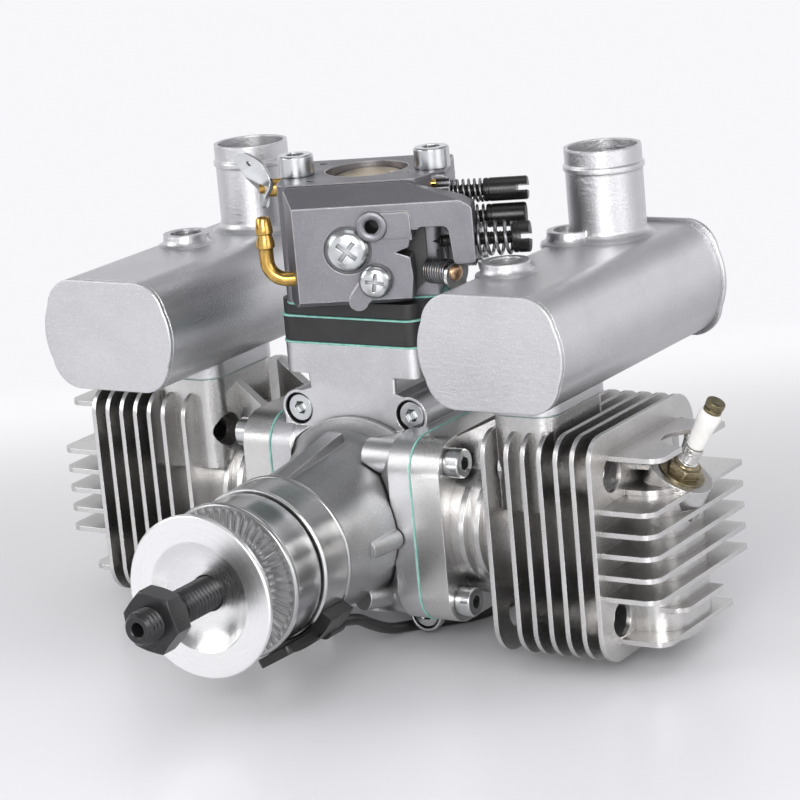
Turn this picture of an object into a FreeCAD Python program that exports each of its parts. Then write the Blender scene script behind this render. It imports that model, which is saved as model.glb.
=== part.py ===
import FreeCAD, Part
import math
import os

# Flat twin two-stroke engine for model aircraft.
# Millimetres. The crankshaft turns about Y; -Y is the propeller end, +Z is up, +X is the right cylinder.
# The origin is the centre of the propeller washer's front face.

os.makedirs("parts", exist_ok=True)
V = FreeCAD.Vector
X = V(1, 0, 0)
Y = V(0, 1, 0)
Z = V(0, 0, 1)

# Driving dimensions
STROKE = 24.0
BORE_R = 14.3
STAGGER = 11.0
Y_MID = 81.5
ROD_LENGTH = 44.0
FIN_OUTER_X = 72.7
FIN_PITCH = 4.21
FIN_COUNT = 6
FIN_THICK = 1.15
FIN_FRONT_Y = 26.1
FIN_BACK_Y = 23.7
FIN_TOP_Z = 27.0
FIN_BOTTOM_Z = -26.3
HEAD_FIN_THICK = 1.2
TABLE_Z = -29.6
WEB_R = 18.8
NECK_HALF_X = 11.8
NECK_FOOT_Z = 33.3
FLANGE_X = 23.0
FLANGE_HALF = 22.3
NOSE_SIDE_X = 17.0
BASE_BOLT = 16.7
HUB_R = 19.0
DRIVER_FRONT_Y = 11.4
DRIVER_BACK_Y = 23.2
NOSE_FRONT_Y = 23.7
NOSE_RING_R = 18.25
PLATE_Y = 67.8
NECK_TOP_Z = 40.6
SPACER_HALF_X = 19.3
SPACER_DEPTH = 27.4
CARB_TURN = 24.0
CARB_Y = 81.5
CARB_BASE_Z = 51.6
CARB_TOP_Z = 79.6
MUFFLER_HALF_X = 18.6
MUFFLER_HALF_Z = 13.4
MUFFLER_LENGTH = 80.0
MUFFLER_Z = 46.5
BOLT_R = 4.0
SPINNER_HOLE_R = 1.5
SPINNER_HOLE_Y = 4.0

# Clearances
RUN = 0.05
SIDE_PLAY = 0.15
GASKET = 0.4

Y_RIGHT = Y_MID - STAGGER / 2
Y_LEFT = Y_MID + STAGGER / 2
CRANK_R = STROKE / 2
ROD_HALF = 2.3
PIN_R = 3.5
WRIST_R = 3.5
WRIST_X = CRANK_R + ROD_LENGTH
CROWN_X = WRIST_X + 11.5
SKIRT_X = WRIST_X - 11.0
SIDES = {
    "right": {"sign": 1, "y": Y_RIGHT, "mx": 51.3, "my": 46.8, "tower": (45.0, 61.5)},
    "left": {"sign": -1, "y": Y_LEFT, "mx": 51.3, "my": 42.5, "tower": (38.5, 57.0)},
}


def box(x0, x1, y0, y1, z0, z1):
    return Part.makeBox(x1 - x0, y1 - y0, z1 - z0, V(x0, y0, z0))


def rod(point, direction, radius, length):
    return Part.makeCylinder(radius, length, point, direction)


def rod_y(x, z, radius, y0, y1):
    return rod(V(x, y0, z), Y, radius, y1 - y0)


def rod_x(y, z, radius, x0, x1):
    return rod(V(x0, y, z), X, radius, x1 - x0)


def rod_z(x, y, radius, z0, z1):
    return rod(V(x, y, z0), Z, radius, z1 - z0)


def fuse(shapes):
    first = shapes[0]
    if len(shapes) == 1:
        return first
    return first.fuse(shapes[1:]).removeSplitter()


def cut(shape, tools):
    return shape.cut(Part.makeCompound(tools))


def place3(axis, u, v, w):
    if axis == "x":
        return V(w, u, v)
    if axis == "y":
        return V(u, w, v)
    return V(u, v, w)


def rounded_face(axis, w, points, radii):
    # A polygon in the plane across the axis, each corner rounded with its own radius.
    count = len(points)
    starts = []
    ends = []
    mids = []
    for i in range(count):
        here = V(points[i][0], points[i][1], 0)
        before = V(points[i - 1][0], points[i - 1][1], 0)
        after = V(points[(i + 1) % count][0], points[(i + 1) % count][1], 0)
        a = (before - here).normalize()
        b = (after - here).normalize()
        r = radii[i]
        if r <= 0:
            starts.append(here)
            ends.append(here)
            mids.append(None)
            continue
        half = a.getAngle(b) / 2
        reach = r / math.tan(half)
        middle = (a + b).normalize()
        centre = here + middle * (r / math.sin(half))
        starts.append(here + a * reach)
        ends.append(here + b * reach)
        mids.append(centre - middle * r)
    edges = []
    for i in range(count):
        p = place3(axis, starts[i].x, starts[i].y, w)
        q = place3(axis, ends[i].x, ends[i].y, w)
        n = starts[(i + 1) % count]
        nxt = place3(axis, n.x, n.y, w)
        if mids[i] is not None:
            m = place3(axis, mids[i].x, mids[i].y, w)
            edges.append(Part.Arc(p, m, q).toShape())
        if (nxt - q).Length > 1e-6:
            edges.append(Part.makeLine(q, nxt))
    return Part.Face(Part.Wire(edges))


def prism(axis, w0, w1, points, radii):
    if not isinstance(radii, (list, tuple)):
        radii = [radii] * len(points)
    face = rounded_face(axis, w0, points, radii)
    return face.extrude(place3(axis, 0, 0, w1 - w0))


def slab(axis, w0, w1, u0, u1, v0, v1, radii):
    points = [(u0, v0), (u1, v0), (u1, v1), (u0, v1)]
    return prism(axis, w0, w1, points, radii)


def loft(faces):
    return Part.makeLoft([f.OuterWire for f in faces], True, True)


def turned_y(profile, x=0.0, z=0.0):
    # profile: list of (y, r); revolved about a line parallel to Y.
    points = [V(x + r, y, z) for y, r in profile]
    points.append(points[0])
    face = Part.Face(Part.makePolygon(points))
    return face.revolve(V(x, 0, z), Y, 360)


def turned_on(point, direction, profile):
    # profile: list of (t, r) along a direction from a point.
    points = [V(r, 0, t) for t, r in profile]
    points.append(points[0])
    solid = Part.Face(Part.makePolygon(points)).revolve(V(0, 0, 0), Z, 360)
    solid.Placement = FreeCAD.Placement(point, FreeCAD.Rotation(Z, direction))
    return solid


def hexagon(point, direction, across, length):
    points = []
    for i in range(7):
        a = math.radians(60 * i)
        points.append(V(across / math.sqrt(3) * math.cos(a), across / math.sqrt(3) * math.sin(a), 0))
    solid = Part.Face(Part.makePolygon(points)).extrude(V(0, 0, length))
    solid.Placement = FreeCAD.Placement(point, FreeCAD.Rotation(Z, direction))
    return solid


def socket_screw(seat, outward, shank_r, shank_len, head_r, head_h, key):
    # The head stands outward from the seat point, the shank goes the other way.
    head = rod(seat, outward, head_r, head_h)
    edge = [e for e in head.Edges if abs(e.CenterOfMass.sub(seat).dot(outward) - head_h) < 1e-6]
    head = head.makeChamfer(0.35, edge[:1])
    socket = hexagon(seat + outward * (head_h * 0.45), outward, key, head_h)
    shank = rod(seat - outward * shank_len, outward, shank_r, shank_len)
    return head.fuse(shank).cut(socket)


def turned_z(shape, angle, x, y):
    out = shape.copy()
    out.rotate(V(x, y, 0), Z, angle)
    return out


def flipped(shape, side):
    # Mirrors a piece drawn on the right side to the left when the side asks for it.
    if SIDES[side]["sign"] > 0:
        return shape
    return shape.mirror(V(0, 0, 0), X)


def around_nose(shape, angle):
    # Turns a piece drawn below the shaft, at -Z, around it towards the right side.
    out = shape.copy()
    out.rotate(V(0, 0, 0), Y, -angle)
    return out


def save(name, shape):
    solids = shape.Solids
    for s in solids:
        if not s.isValid() or s.Volume <= 0:
            print("check", name, s.isValid(), s.Volume)
    out = solids[0] if len(solids) == 1 else Part.makeCompound(solids)
    out.exportStep("parts/" + name + ".step")
    print(name, len(solids), "solids", round(sum(s.Volume for s in solids), 1), "mm3")


# Crankcase

CHAMBER_R = WEB_R + 1.0
CHAMBER_Y0 = 70.9
CHAMBER_Y1 = 96.6
SPIGOT_R = CHAMBER_R + 0.8
REAR_SCREW_X = 11.5
REAR_SCREW_Z = 21.4
REAR_BEARING_Y = 100.0
CASE_R = 25.6
CASE_SCREW_X = 15.7
CASE_SCREW_Z = 24.4
CASE_TOP_Z = 29.6
REAR_Y = 110.0


def case_duct(side):
    sign = SIDES[side]["sign"]
    yc = SIDES[side]["y"]
    h = FLANGE_HALF
    flange = slab("x", 17.2, FLANGE_X, yc - h, yc + h, -h, h, 8.0)
    neck = slab("x", 2.0, 17.4, yc - 18.4, yc + 18.4, -20.5, 20.5, 10.0)
    near = rounded_face("x", 9.0, [(yc - 17.0, -19.0), (yc + 17.0, -19.0), (yc + 17.0, 19.0), (yc - 17.0, 19.0)],
                        [9.0] * 4)
    far = rounded_face("x", 17.3, [(yc - h, -h), (yc + h, -h), (yc + h, h), (yc - h, h)], [8.0] * 4)
    flare = loft([near, far])
    pieces = [flange, neck, flare]
    for sy in (-1, 1):
        for sz in (-1, 1):
            pieces.append(rod_x(yc + sy * BASE_BOLT, sz * BASE_BOLT, 4.4, 9.4, 18.0))
    body = fuse(pieces)
    if sign < 0:
        body = body.mirror(V(0, 0, 0), X)
    return body


def crankcase():
    pieces = [case_duct("right"), case_duct("left")]
    pieces.append(rod_y(0, 0, CASE_R, PLATE_Y + 1.0, REAR_Y))
    # Front face plate around the nose seat.
    plate = prism("y", PLATE_Y, REAR_Y - 8.0,
                  [(-19.8, -20.0), (-14.0, -24.0), (14.0, -24.0), (19.8, -20.0), (19.8, 24.0),
                   (17.6, CASE_TOP_Z - 1.6), (NECK_HALF_X, CASE_TOP_Z), (-NECK_HALF_X, CASE_TOP_Z),
                   (-17.6, CASE_TOP_Z - 1.6), (-19.8, 24.0)],
                  [4.0, 3.0, 3.0, 4.0, 2.0, 2.0, 1.0, 1.0, 2.0, 2.0])
    pieces.append(plate)
    # Neck under the intake flange, a little narrower than the flange.
    y0 = CARB_Y - SPACER_DEPTH / 2
    y1 = CARB_Y + SPACER_DEPTH / 2
    corners = [0.8, 0.8, 3.0, 3.0]
    h = NECK_HALF_X
    low = rounded_face("z", 24.0, [(-h, y0), (h, y0), (h, y1 - 1.0), (-h, y1 - 1.0)], corners)
    h = NECK_HALF_X + 0.5
    high = rounded_face("z", NECK_FOOT_Z + 0.3, [(-h, y0), (h, y0), (h, y1 - 0.6), (-h, y1 - 0.6)], corners)
    pieces.append(loft([low, high]))
    pieces.append(slab("z", NECK_FOOT_Z, NECK_TOP_Z, -SPACER_HALF_X, SPACER_HALF_X, y0, y1, 3.6))
    # Sloping shoulders from the neck to the cylinder flanges.
    for sign, yc in ((1, Y_RIGHT), (-1, Y_LEFT)):
        rib = prism("y", yc + 9.0, yc + 12.0, [(11.0, 20.0), (FLANGE_X - 0.4, 21.0), (13.4, 33.4), (11.0, 33.4)], 0)
        if sign < 0:
            rib = rib.mirror(V(0, 0, 0), X)
        pieces.append(rib)
        web = prism("y", max(yc - 14.0, PLATE_Y + 2.2), yc + 14.0,
                    [(11.0, 18.0), (21.5, 20.0), (13.4, 29.0), (11.0, 29.0)], 0)
        if sign < 0:
            web = web.mirror(V(0, 0, 0), X)
        pieces.append(web)
    # Screw bosses at the corners of the front plate, and the rear ones.
    for sx in (-1, 1):
        x = sx * CASE_SCREW_X
        pieces.append(rod_y(x, CASE_SCREW_Z, 4.6, PLATE_Y, PLATE_Y + 12.0))
        pieces.append(turned_on(V(x, PLATE_Y - 1.1, -CASE_SCREW_Z + 0.4), Y,
                                [(0, 0), (0, 4.3), (2.4, 4.3), (4.2, 2.9), (12.0, 2.9), (12.0, 0)]))
        for sz in (-1, 1):
            pieces.append(rod_y(sx * REAR_SCREW_X, sz * REAR_SCREW_Z, 4.6, REAR_Y - 12.0, REAR_Y))
    body = fuse(pieces)
    body = body.common(box(-FLANGE_X, FLANGE_X, 0.0, 200.0, -60.0, 60.0))
    tools = [rod_y(0, 0, CHAMBER_R, CHAMBER_Y0, CHAMBER_Y1)]
    tools.append(rod_y(0, 0, SPIGOT_R, PLATE_Y - 3.0, PLATE_Y + 3.2))
    tools.append(rod_y(0, 0, 9.0, CHAMBER_Y1 - 1.0, REAR_BEARING_Y + 0.1))
    tools.append(rod_y(0, 0, 11.0, REAR_BEARING_Y, REAR_Y + 1.0))
    # Room for the nose housing between the two flanges.
    nose = turned_y([(50.0, 0), (50.0, 18.7), (60.0, 19.7), (62.2, 20.5), (64.0, 21.5), (66.0, 23.8),
                     (PLATE_Y - 0.1, 23.9), (PLATE_Y - 0.1, 0)])
    tools.append(nose.common(box(-NOSE_SIDE_X - 0.2, NOSE_SIDE_X + 0.2, 40.0, 70.0, -30.0, 30.0)))
    tools.append(rod_x(Y_RIGHT, 0, 16.4, 0.0, FLANGE_X + 1.0))
    tools.append(rod_x(Y_LEFT, 0, 16.4, -FLANGE_X - 1.0, 0.0))
    # Intake passage with the reed block's seat.
    tools.append(slab("z", 10.0, NECK_TOP_Z - 5.0, -9.4, 9.4, CARB_Y - 9.4, CARB_Y + 9.4, 2.0))
    tools.append(slab("z", NECK_TOP_Z - 5.6, NECK_TOP_Z + 1.0, -11.7, 11.7, CARB_Y - 10.6, CARB_Y + 10.6, 2.0))
    for sx in (-1, 1):
        x = sx * CASE_SCREW_X
        for z, depth, wide in ((CASE_SCREW_Z, 4.6, 3.9), (-CASE_SCREW_Z + 0.4, 1.2, 3.7)):
            tools.append(rod_y(x, z, wide, PLATE_Y - 2.0, PLATE_Y + depth))
            tools.append(rod_y(x, z, 2.0, PLATE_Y, PLATE_Y + 10.0))
        for sz in (-1, 1):
            tools.append(rod_y(sx * REAR_SCREW_X, sz * REAR_SCREW_Z, 2.0, REAR_Y - 10.0, REAR_Y + 1.0))
    for sx in (-1, 1):
        c = carb_point(sx * CARB_SCREW_U, CARB_SCREW_V)
        tools.append(rod_z(c[0], c[1], 2.5, NECK_FOOT_Z + 0.5, NECK_TOP_Z + 1.0))
    for side in SIDES:
        sign = SIDES[side]["sign"]
        yc = SIDES[side]["y"]
        for sy in (-1, 1):
            for sz in (-1, 1):
                a = sign * (FLANGE_X - 8.0)
                b = sign * (FLANGE_X + 1.0)
                tools.append(rod_x(yc + sy * BASE_BOLT, sz * BASE_BOLT, 2.0, min(a, b), max(a, b)))
    return cut(body, tools)


def nose_housing():
    front = NOSE_FRONT_Y
    outer = [(front, 12.0), (front, NOSE_RING_R - 0.4), (front + 0.4, NOSE_RING_R), (33.2, NOSE_RING_R),
             (33.6, NOSE_RING_R - 0.4), (33.6, 17.1), (38.0, 17.2), (46.0, 17.9), (54.0, 18.6),
             (60.0, 19.3), (62.2, 20.1), (63.2, 21.0), (64.0, 21.0), (65.2, 22.0), (66.0, 23.2),
             (67.6, 23.5), (67.6, SPIGOT_R), (70.8, SPIGOT_R), (70.8, 12.0)]
    body = turned_y(outer)
    # Upper rib, side ribs and the sensor's flat under the nose.
    top = prism("x", -2.0, 2.0, [(34.0, 15.0), (34.0, 17.4), (55.2, 21.4), (59.0, 21.8), (59.8, 20.6), (59.8, 15.0)], 0)
    body = body.fuse(top)
    for sx in (-1, 1):
        root = V(sx * 16.0, 44.0, -1.0)
        tip = V(sx * 19.6, 66.0, -1.0)
        body = body.fuse(rod(root, (tip - root).normalize(), 2.6, (tip - root).Length))
        low_root = V(sx * 11.0, 48.0, -14.6)
        low_tip = V(sx * 14.6, 66.4, -17.6)
        body = body.fuse(rod(low_root, (low_tip - low_root).normalize(), 2.8, (low_tip - low_root).Length))
    pad = around_nose(box(-5.4, 5.4, 33.6, 47.0, -SENSOR_PAD_R, -12.0), SENSOR_FOOT_ANGLE)
    body = body.fuse(pad)
    body = body.fuse(rod_y(0, 0, 23.5, 66.2, 67.6))
    tools = [rod_y(0, 0, 14.0, 25.4, 34.4)]
    tools.append(rod_y(0, 0, 10.6, 20.0, 26.0))
    tools.append(rod_y(0, 0, 11.2, 34.0, 56.0))
    tools.append(rod_y(0, 0, 16.0, 55.8, 65.9))
    tools.append(rod_y(0, 0, 11.2, 60.0, 72.0))
    tools.append(rod_y(0, 0, WEB_R + 0.5, 66.9, 72.0))
    # Flat sides where the case flanges stand beside the nose.
    tools.append(box(NOSE_SIDE_X, 40.0, Y_RIGHT - FLANGE_HALF - 0.4, 80.0, -40.0, 40.0))
    tools.append(box(-40.0, -NOSE_SIDE_X, Y_LEFT - FLANGE_HALF - 0.4, 80.0, -40.0, 40.0))
    tools.append(around_nose(rod(V(0, 41.0, -22.0), Z, 1.25, 8.0), SENSOR_FOOT_ANGLE))
    # The case and its front cylinder screws take their room out of the nose's ribs.
    for sz in (-1, 1):
        tools.append(rod_x(Y_RIGHT - BASE_BOLT, sz * BASE_BOLT, 2.4, 12.0, 20.0))
    return cut(body, tools).cut(crankcase())


LEG_X = 21.0
LEG_Z = 19.0
LEG_END_Y = 132.0


def rear_cover():
    y0 = REAR_Y + GASKET
    plate = slab("y", y0, y0 + 5.0, -24.5, 24.5, -23.0, 23.0, 7.0)
    pieces = [plate, rod_y(0, 0, 14.5, y0, y0 + 8.0)]
    for sx in (-1, 1):
        for sz in (-1, 1):
            shape = turned_on(V(sx * LEG_X, y0 + 1.0, sz * (LEG_Z - 4.0)), Y,
                              [(0, 0), (0, 5.6), (8, 5.2), (LEG_END_Y - y0 - 1.0, 5.0), (LEG_END_Y - y0 - 1.0, 0)])
            pieces.append(shape)
    body = fuse(pieces)
    tools = [rod_y(0, 0, 9.0, y0 - 1.0, y0 + 4.6)]
    for sx in (-1, 1):
        for sz in (-1, 1):
            tools.append(rod_y(sx * REAR_SCREW_X, sz * REAR_SCREW_Z, 2.15, y0 - 1.0, y0 + 6.0))
            tools.append(rod_y(sx * LEG_X, sz * (LEG_Z - 4.0), 2.5, LEG_END_Y - 14.0, LEG_END_Y + 1.0))
    return cut(body, tools)


def rear_ears(y0, y1):
    ears = []
    for sx in (-1, 1):
        for sz in (-1, 1):
            ears.append(rod_y(sx * REAR_SCREW_X, sz * REAR_SCREW_Z, 4.6, y0, y1))
    return fuse(ears)


def rear_gasket():
    body = slab("y", REAR_Y, REAR_Y + GASKET, -24.0, 24.0, -22.6, 22.6, 7.0)
    body = body.common(fuse([rod_y(0, 0, CASE_R, REAR_Y, REAR_Y + GASKET), rear_ears(REAR_Y, REAR_Y + GASKET)]))
    tools = [rod_y(0, 0, 11.1, REAR_Y - 1.0, REAR_Y + 1.0)]
    for sx in (-1, 1):
        for sz in (-1, 1):
            tools.append(rod_y(sx * REAR_SCREW_X, sz * REAR_SCREW_Z, 2.2, REAR_Y - 1.0, REAR_Y + 1.0))
    return cut(body, tools)


def case_screws():
    shapes = []
    for sx in (-1, 1):
        seat = V(sx * CASE_SCREW_X, PLATE_Y + 4.6, CASE_SCREW_Z)
        shapes.append(socket_screw(seat, V(0, -1, 0), 2.0, 5.3, 3.5, 4.0, 3.0))
        seat = V(sx * CASE_SCREW_X, PLATE_Y + 1.2, -CASE_SCREW_Z + 0.4)
        shapes.append(socket_screw(seat, V(0, -1, 0), 2.0, 8.7, 3.5, 2.0, 3.0))
        for sz in (-1, 1):
            seat = V(sx * REAR_SCREW_X, REAR_Y + GASKET + 5.0, sz * REAR_SCREW_Z)
            shapes.append(socket_screw(seat, Y, 2.0, 15.0, 3.5, 4.0, 3.0))
    return Part.makeCompound(shapes)


def ball_bearing(y0, y1, inner, outer):
    mid = (inner + outer) / 2
    third = (outer - inner) / 3
    out_ring = turned_y([(y0, outer - third), (y0, outer), (y1, outer), (y1, outer - third)])
    in_ring = turned_y([(y0, inner), (y0, inner + third), (y1, inner + third), (y1, inner)])
    return out_ring, in_ring, mid


def main_bearings():
    shapes = []
    for y0, y1, outer in ((25.5, 32.5, 14.0), (57.5, 65.5, 16.0), (REAR_BEARING_Y, REAR_BEARING_Y + 7.0, 11.0)):
        inner = 7.5 if outer > 12 else 6.0
        out_ring, in_ring, mid = ball_bearing(y0, y1, inner + RUN, outer)
        shapes.append(out_ring)
        shapes.append(turned_y([(y0 + 0.6, mid - 1.6), (y0 + 0.6, mid + 1.6), (y1 - 0.6, mid + 1.6),
                                (y1 - 0.6, mid - 1.6)]))
        shapes.append(in_ring)
    return Part.makeCompound([fuse(shapes[0:3]), fuse(shapes[3:6]), fuse(shapes[6:9])])


def shaft_seal():
    return turned_y([(34.5, 7.5 + RUN), (34.5, 11.2), (38.5, 11.2), (38.5, 7.5 + RUN)])


# Crankshaft and propeller end

WEB_PLAY = SIDE_PLAY


def crankshaft():
    y1 = Y_RIGHT - ROD_HALF - WEB_PLAY
    y2 = Y_RIGHT + ROD_HALF + WEB_PLAY
    y3 = Y_LEFT - ROD_HALF - WEB_PLAY
    y4 = Y_LEFT + ROD_HALF + WEB_PLAY
    front = turned_y([(13.4, 0), (13.4, 6.0), (24.0, 6.0), (24.0, 7.5), (66.4, 7.5), (66.4, 9.0), (67.2, 9.0),
                      (67.2, WEB_R), (y1, WEB_R), (y1, 0)])
    middle = turned_y([(y2, 0), (y2, WEB_R), (y3, WEB_R), (y3, 0)])
    rear = turned_y([(y4, 0), (y4, WEB_R), (y4 + 5.0, WEB_R), (y4 + 5.0, 8.0), (REAR_BEARING_Y - 0.2, 8.0),
                     (REAR_BEARING_Y - 0.2, 6.0), (REAR_BEARING_Y + 7.6, 6.0), (REAR_BEARING_Y + 7.6, 0)])
    bore = rod_y(0, 0, BOLT_R, 10.0, 40.0)
    return Part.makeCompound([front.cut(bore), middle, rear])


def driver_knurl(body):
    # Radial grip grooves cut in the front face.
    tools = []
    count = 48
    for i in range(count):
        a = 360.0 * i / count
        wedge = prism("x", 11.2, 18.0, [(DRIVER_FRONT_Y - 0.5, -0.46), (DRIVER_FRONT_Y - 0.5, 0.46),
                                         (DRIVER_FRONT_Y + 0.55, 0.0)], 0)
        wedge.rotate(V(0, 0, 0), Y, a)
        tools.append(wedge)
    return body.cut(Part.makeCompound(tools))


def prop_driver():
    y0 = DRIVER_FRONT_Y
    y1 = DRIVER_BACK_Y
    body = turned_y([(6.0, 6.05), (6.0, 10.0), (y0 + 0.4, 10.4), (y0, 11.2), (y0, 17.9), (y0 + 0.5, 18.4),
                     (y0 + 1.6, 18.4), (y0 + 2.0, 18.0), (y1 - 0.6, 17.5), (y1, 17.0), (y1, 6.05)])
    body = driver_knurl(body)
    return body.cut(rod(V(0, 18.4, -18.4), Z, 2.0, 6.0))


def sensor_magnet():
    return rod(V(0, 18.4, -17.3), Z, 1.98, 4.2)


def prop_washer():
    r = HUB_R
    dish = [(0.0, 12.9), (0.0, r - 0.3), (0.3, r), (1.3, r), (1.6, r - 0.3), (2.4, 14.0), (6.0, 10.0), (6.0, 4.15),
            (3.3, 4.15), (3.2, 6.0), (2.6, 8.5), (1.6, 10.8)]
    return turned_y(dish)


def prop_bolt():
    return turned_y([(-23.1, 0), (-23.1, 3.2), (-22.3, BOLT_R), (39.0, BOLT_R), (39.0, 0)]).cut(
        rod_y(0, 0, SPINNER_HOLE_R, -24.0, SPINNER_HOLE_Y))


def prop_nut():
    y0 = -18.4
    y1 = -12.9
    nut = hexagon(V(0, y0, 0), Y, 13.0, y1 - y0)
    nut = nut.common(turned_y([(y0, 0), (y0, 6.5), (y0 + 0.6, 7.6), (y1 - 0.6, 7.6), (y1, 6.5), (y1, 0)]))
    nut.rotate(V(0, 0, 0), Y, 12.0)
    return nut.cut(rod_y(0, 0, BOLT_R, y0 - 1.0, y1 + 1.0))


# Running gear, drawn at outer dead centre on the right side

def piston(side):
    yc = SIDES[side]["y"]
    body = rod_x(yc, 0, BORE_R - RUN, SKIRT_X, CROWN_X)
    tools = [rod_x(yc, 0, BORE_R - 2.2, SKIRT_X - 1.0, CROWN_X - 3.2)]
    bosses = fuse([box(WIST0, WIST1, yc - 13.0, yc - 3.6, -5.2, 5.2), box(WIST0, WIST1, yc + 3.6, yc + 13.0, -5.2, 5.2)])
    body = cut(body, tools)
    body = body.fuse(bosses.common(rod_x(yc, 0, BORE_R - 1.0, SKIRT_X, CROWN_X)))
    body = body.cut(rod_y(WRIST_X, 0, WRIST_R, yc - 20.0, yc + 20.0))
    for k in range(2):
        x0 = CROWN_X - 3.0 - 3.2 * k
        ring = rod_x(yc, 0, BORE_R + 1.0, x0 - 1.3, x0).cut(rod_x(yc, 0, BORE_R - 1.3, x0 - 1.3, x0))
        body = body.cut(ring)
    return flipped(body, side)


WIST0 = WRIST_X - 5.0
WIST1 = WRIST_X + 7.0


def piston_rings(side):
    yc = SIDES[side]["y"]
    rings = []
    for k in range(2):
        x0 = CROWN_X - 3.0 - 3.2 * k
        ring = rod_x(yc, 0, BORE_R - 0.02, x0 - 1.25, x0 - 0.05)
        ring = ring.cut(rod_x(yc, 0, BORE_R - 1.3, x0 - 2.0, x0 + 1.0))
        rings.append(ring.cut(box(x0 - 2.0, x0 + 1.0, yc - 0.3, yc + 0.3, 0.0, 16.0)))
    return flipped(Part.makeCompound(rings), side)


def conrod(side):
    yc = SIDES[side]["y"]
    y0 = yc - ROD_HALF
    y1 = yc + ROD_HALF
    big = rod_y(CRANK_R, 0, 6.2, y0, y1)
    small = rod_y(WRIST_X, 0, 5.2, y0, y1)
    shank = prism("y", y0 + 0.3, y1 - 0.3, [(CRANK_R + 3.0, -3.6), (WRIST_X - 3.0, -3.0), (WRIST_X - 3.0, 3.0),
                                            (CRANK_R + 3.0, 3.6)], 0)
    body = fuse([big, small, shank])
    groove = slab("y", y0 - 1.0, y0 + 1.1, CRANK_R + 8.5, WRIST_X - 7.5, -1.7, 1.7, 1.6)
    other = slab("y", y1 - 1.1, y1 + 1.0, CRANK_R + 8.5, WRIST_X - 7.5, -1.7, 1.7, 1.6)
    body = cut(body, [rod_y(CRANK_R, 0, PIN_R, y0 - 1.0, y1 + 1.0), rod_y(WRIST_X, 0, WRIST_R, y0 - 1.0, y1 + 1.0),
                      groove, other])
    return flipped(body, side)


def rod_pins(side):
    yc = SIDES[side]["y"]
    crank = rod_y(CRANK_R, 0, PIN_R, yc - ROD_HALF, yc + ROD_HALF)
    wrist = rod_y(WRIST_X, 0, WRIST_R, yc - 11.6, yc + 11.6).cut(rod_y(WRIST_X, 0, 2.0, yc - 12.0, yc + 12.0))
    return flipped(Part.makeCompound([crank, wrist]), side)


# Cylinders

HEAD_X = 86.5
HEAD_PITCH = 5.08
BARREL_R = 19.0
PLUG_TILT = 30.0
PLUG_SEAT = (81.95, 13.3)
PLUG_REACH = 15.5


def fin_outline(x0, x1, yc):
    points = [(yc - FIN_FRONT_Y, FIN_BOTTOM_Z), (yc + FIN_BACK_Y, FIN_BOTTOM_Z), (yc + FIN_BACK_Y, FIN_TOP_Z),
              (yc - FIN_FRONT_Y, FIN_TOP_Z)]
    return prism("x", x0, x1, points, [8.0, 8.0, 8.5, 6.0])


def plug_frame(yc):
    t = math.radians(PLUG_TILT)
    return V(PLUG_SEAT[0], yc, PLUG_SEAT[1]), V(math.sin(t), 0, math.cos(t))


def head_fins(yc):
    pieces = []
    half = HEAD_FIN_THICK / 2
    x0 = FIN_OUTER_X
    for k in range(-2, 3):
        z = HEAD_PITCH * k
        pieces.append(prism("z", z - half, z + half, [(x0, yc - 23.7), (HEAD_X, yc - 23.7), (HEAD_X, yc + 21.5),
                                                      (x0, yc + 21.5)], [0, 3.6, 0.6, 0]))
    shorter = ((21.2, -18.6, 14.3, HEAD_X), (15.4, -4.8, 8.4, 83.0), (-16.0, -11.0, 8.5, HEAD_X),
               (-21.9, -18.2, 15.3, HEAD_X - 1.4))
    for z, a, b, x1 in shorter:
        pieces.append(prism("z", z - half, z + half, [(x0, yc + a), (x1, yc + a), (x1, yc + b), (x0, yc + b)],
                            [0, 3.6, 0.6, 0]))
    return pieces


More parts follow.
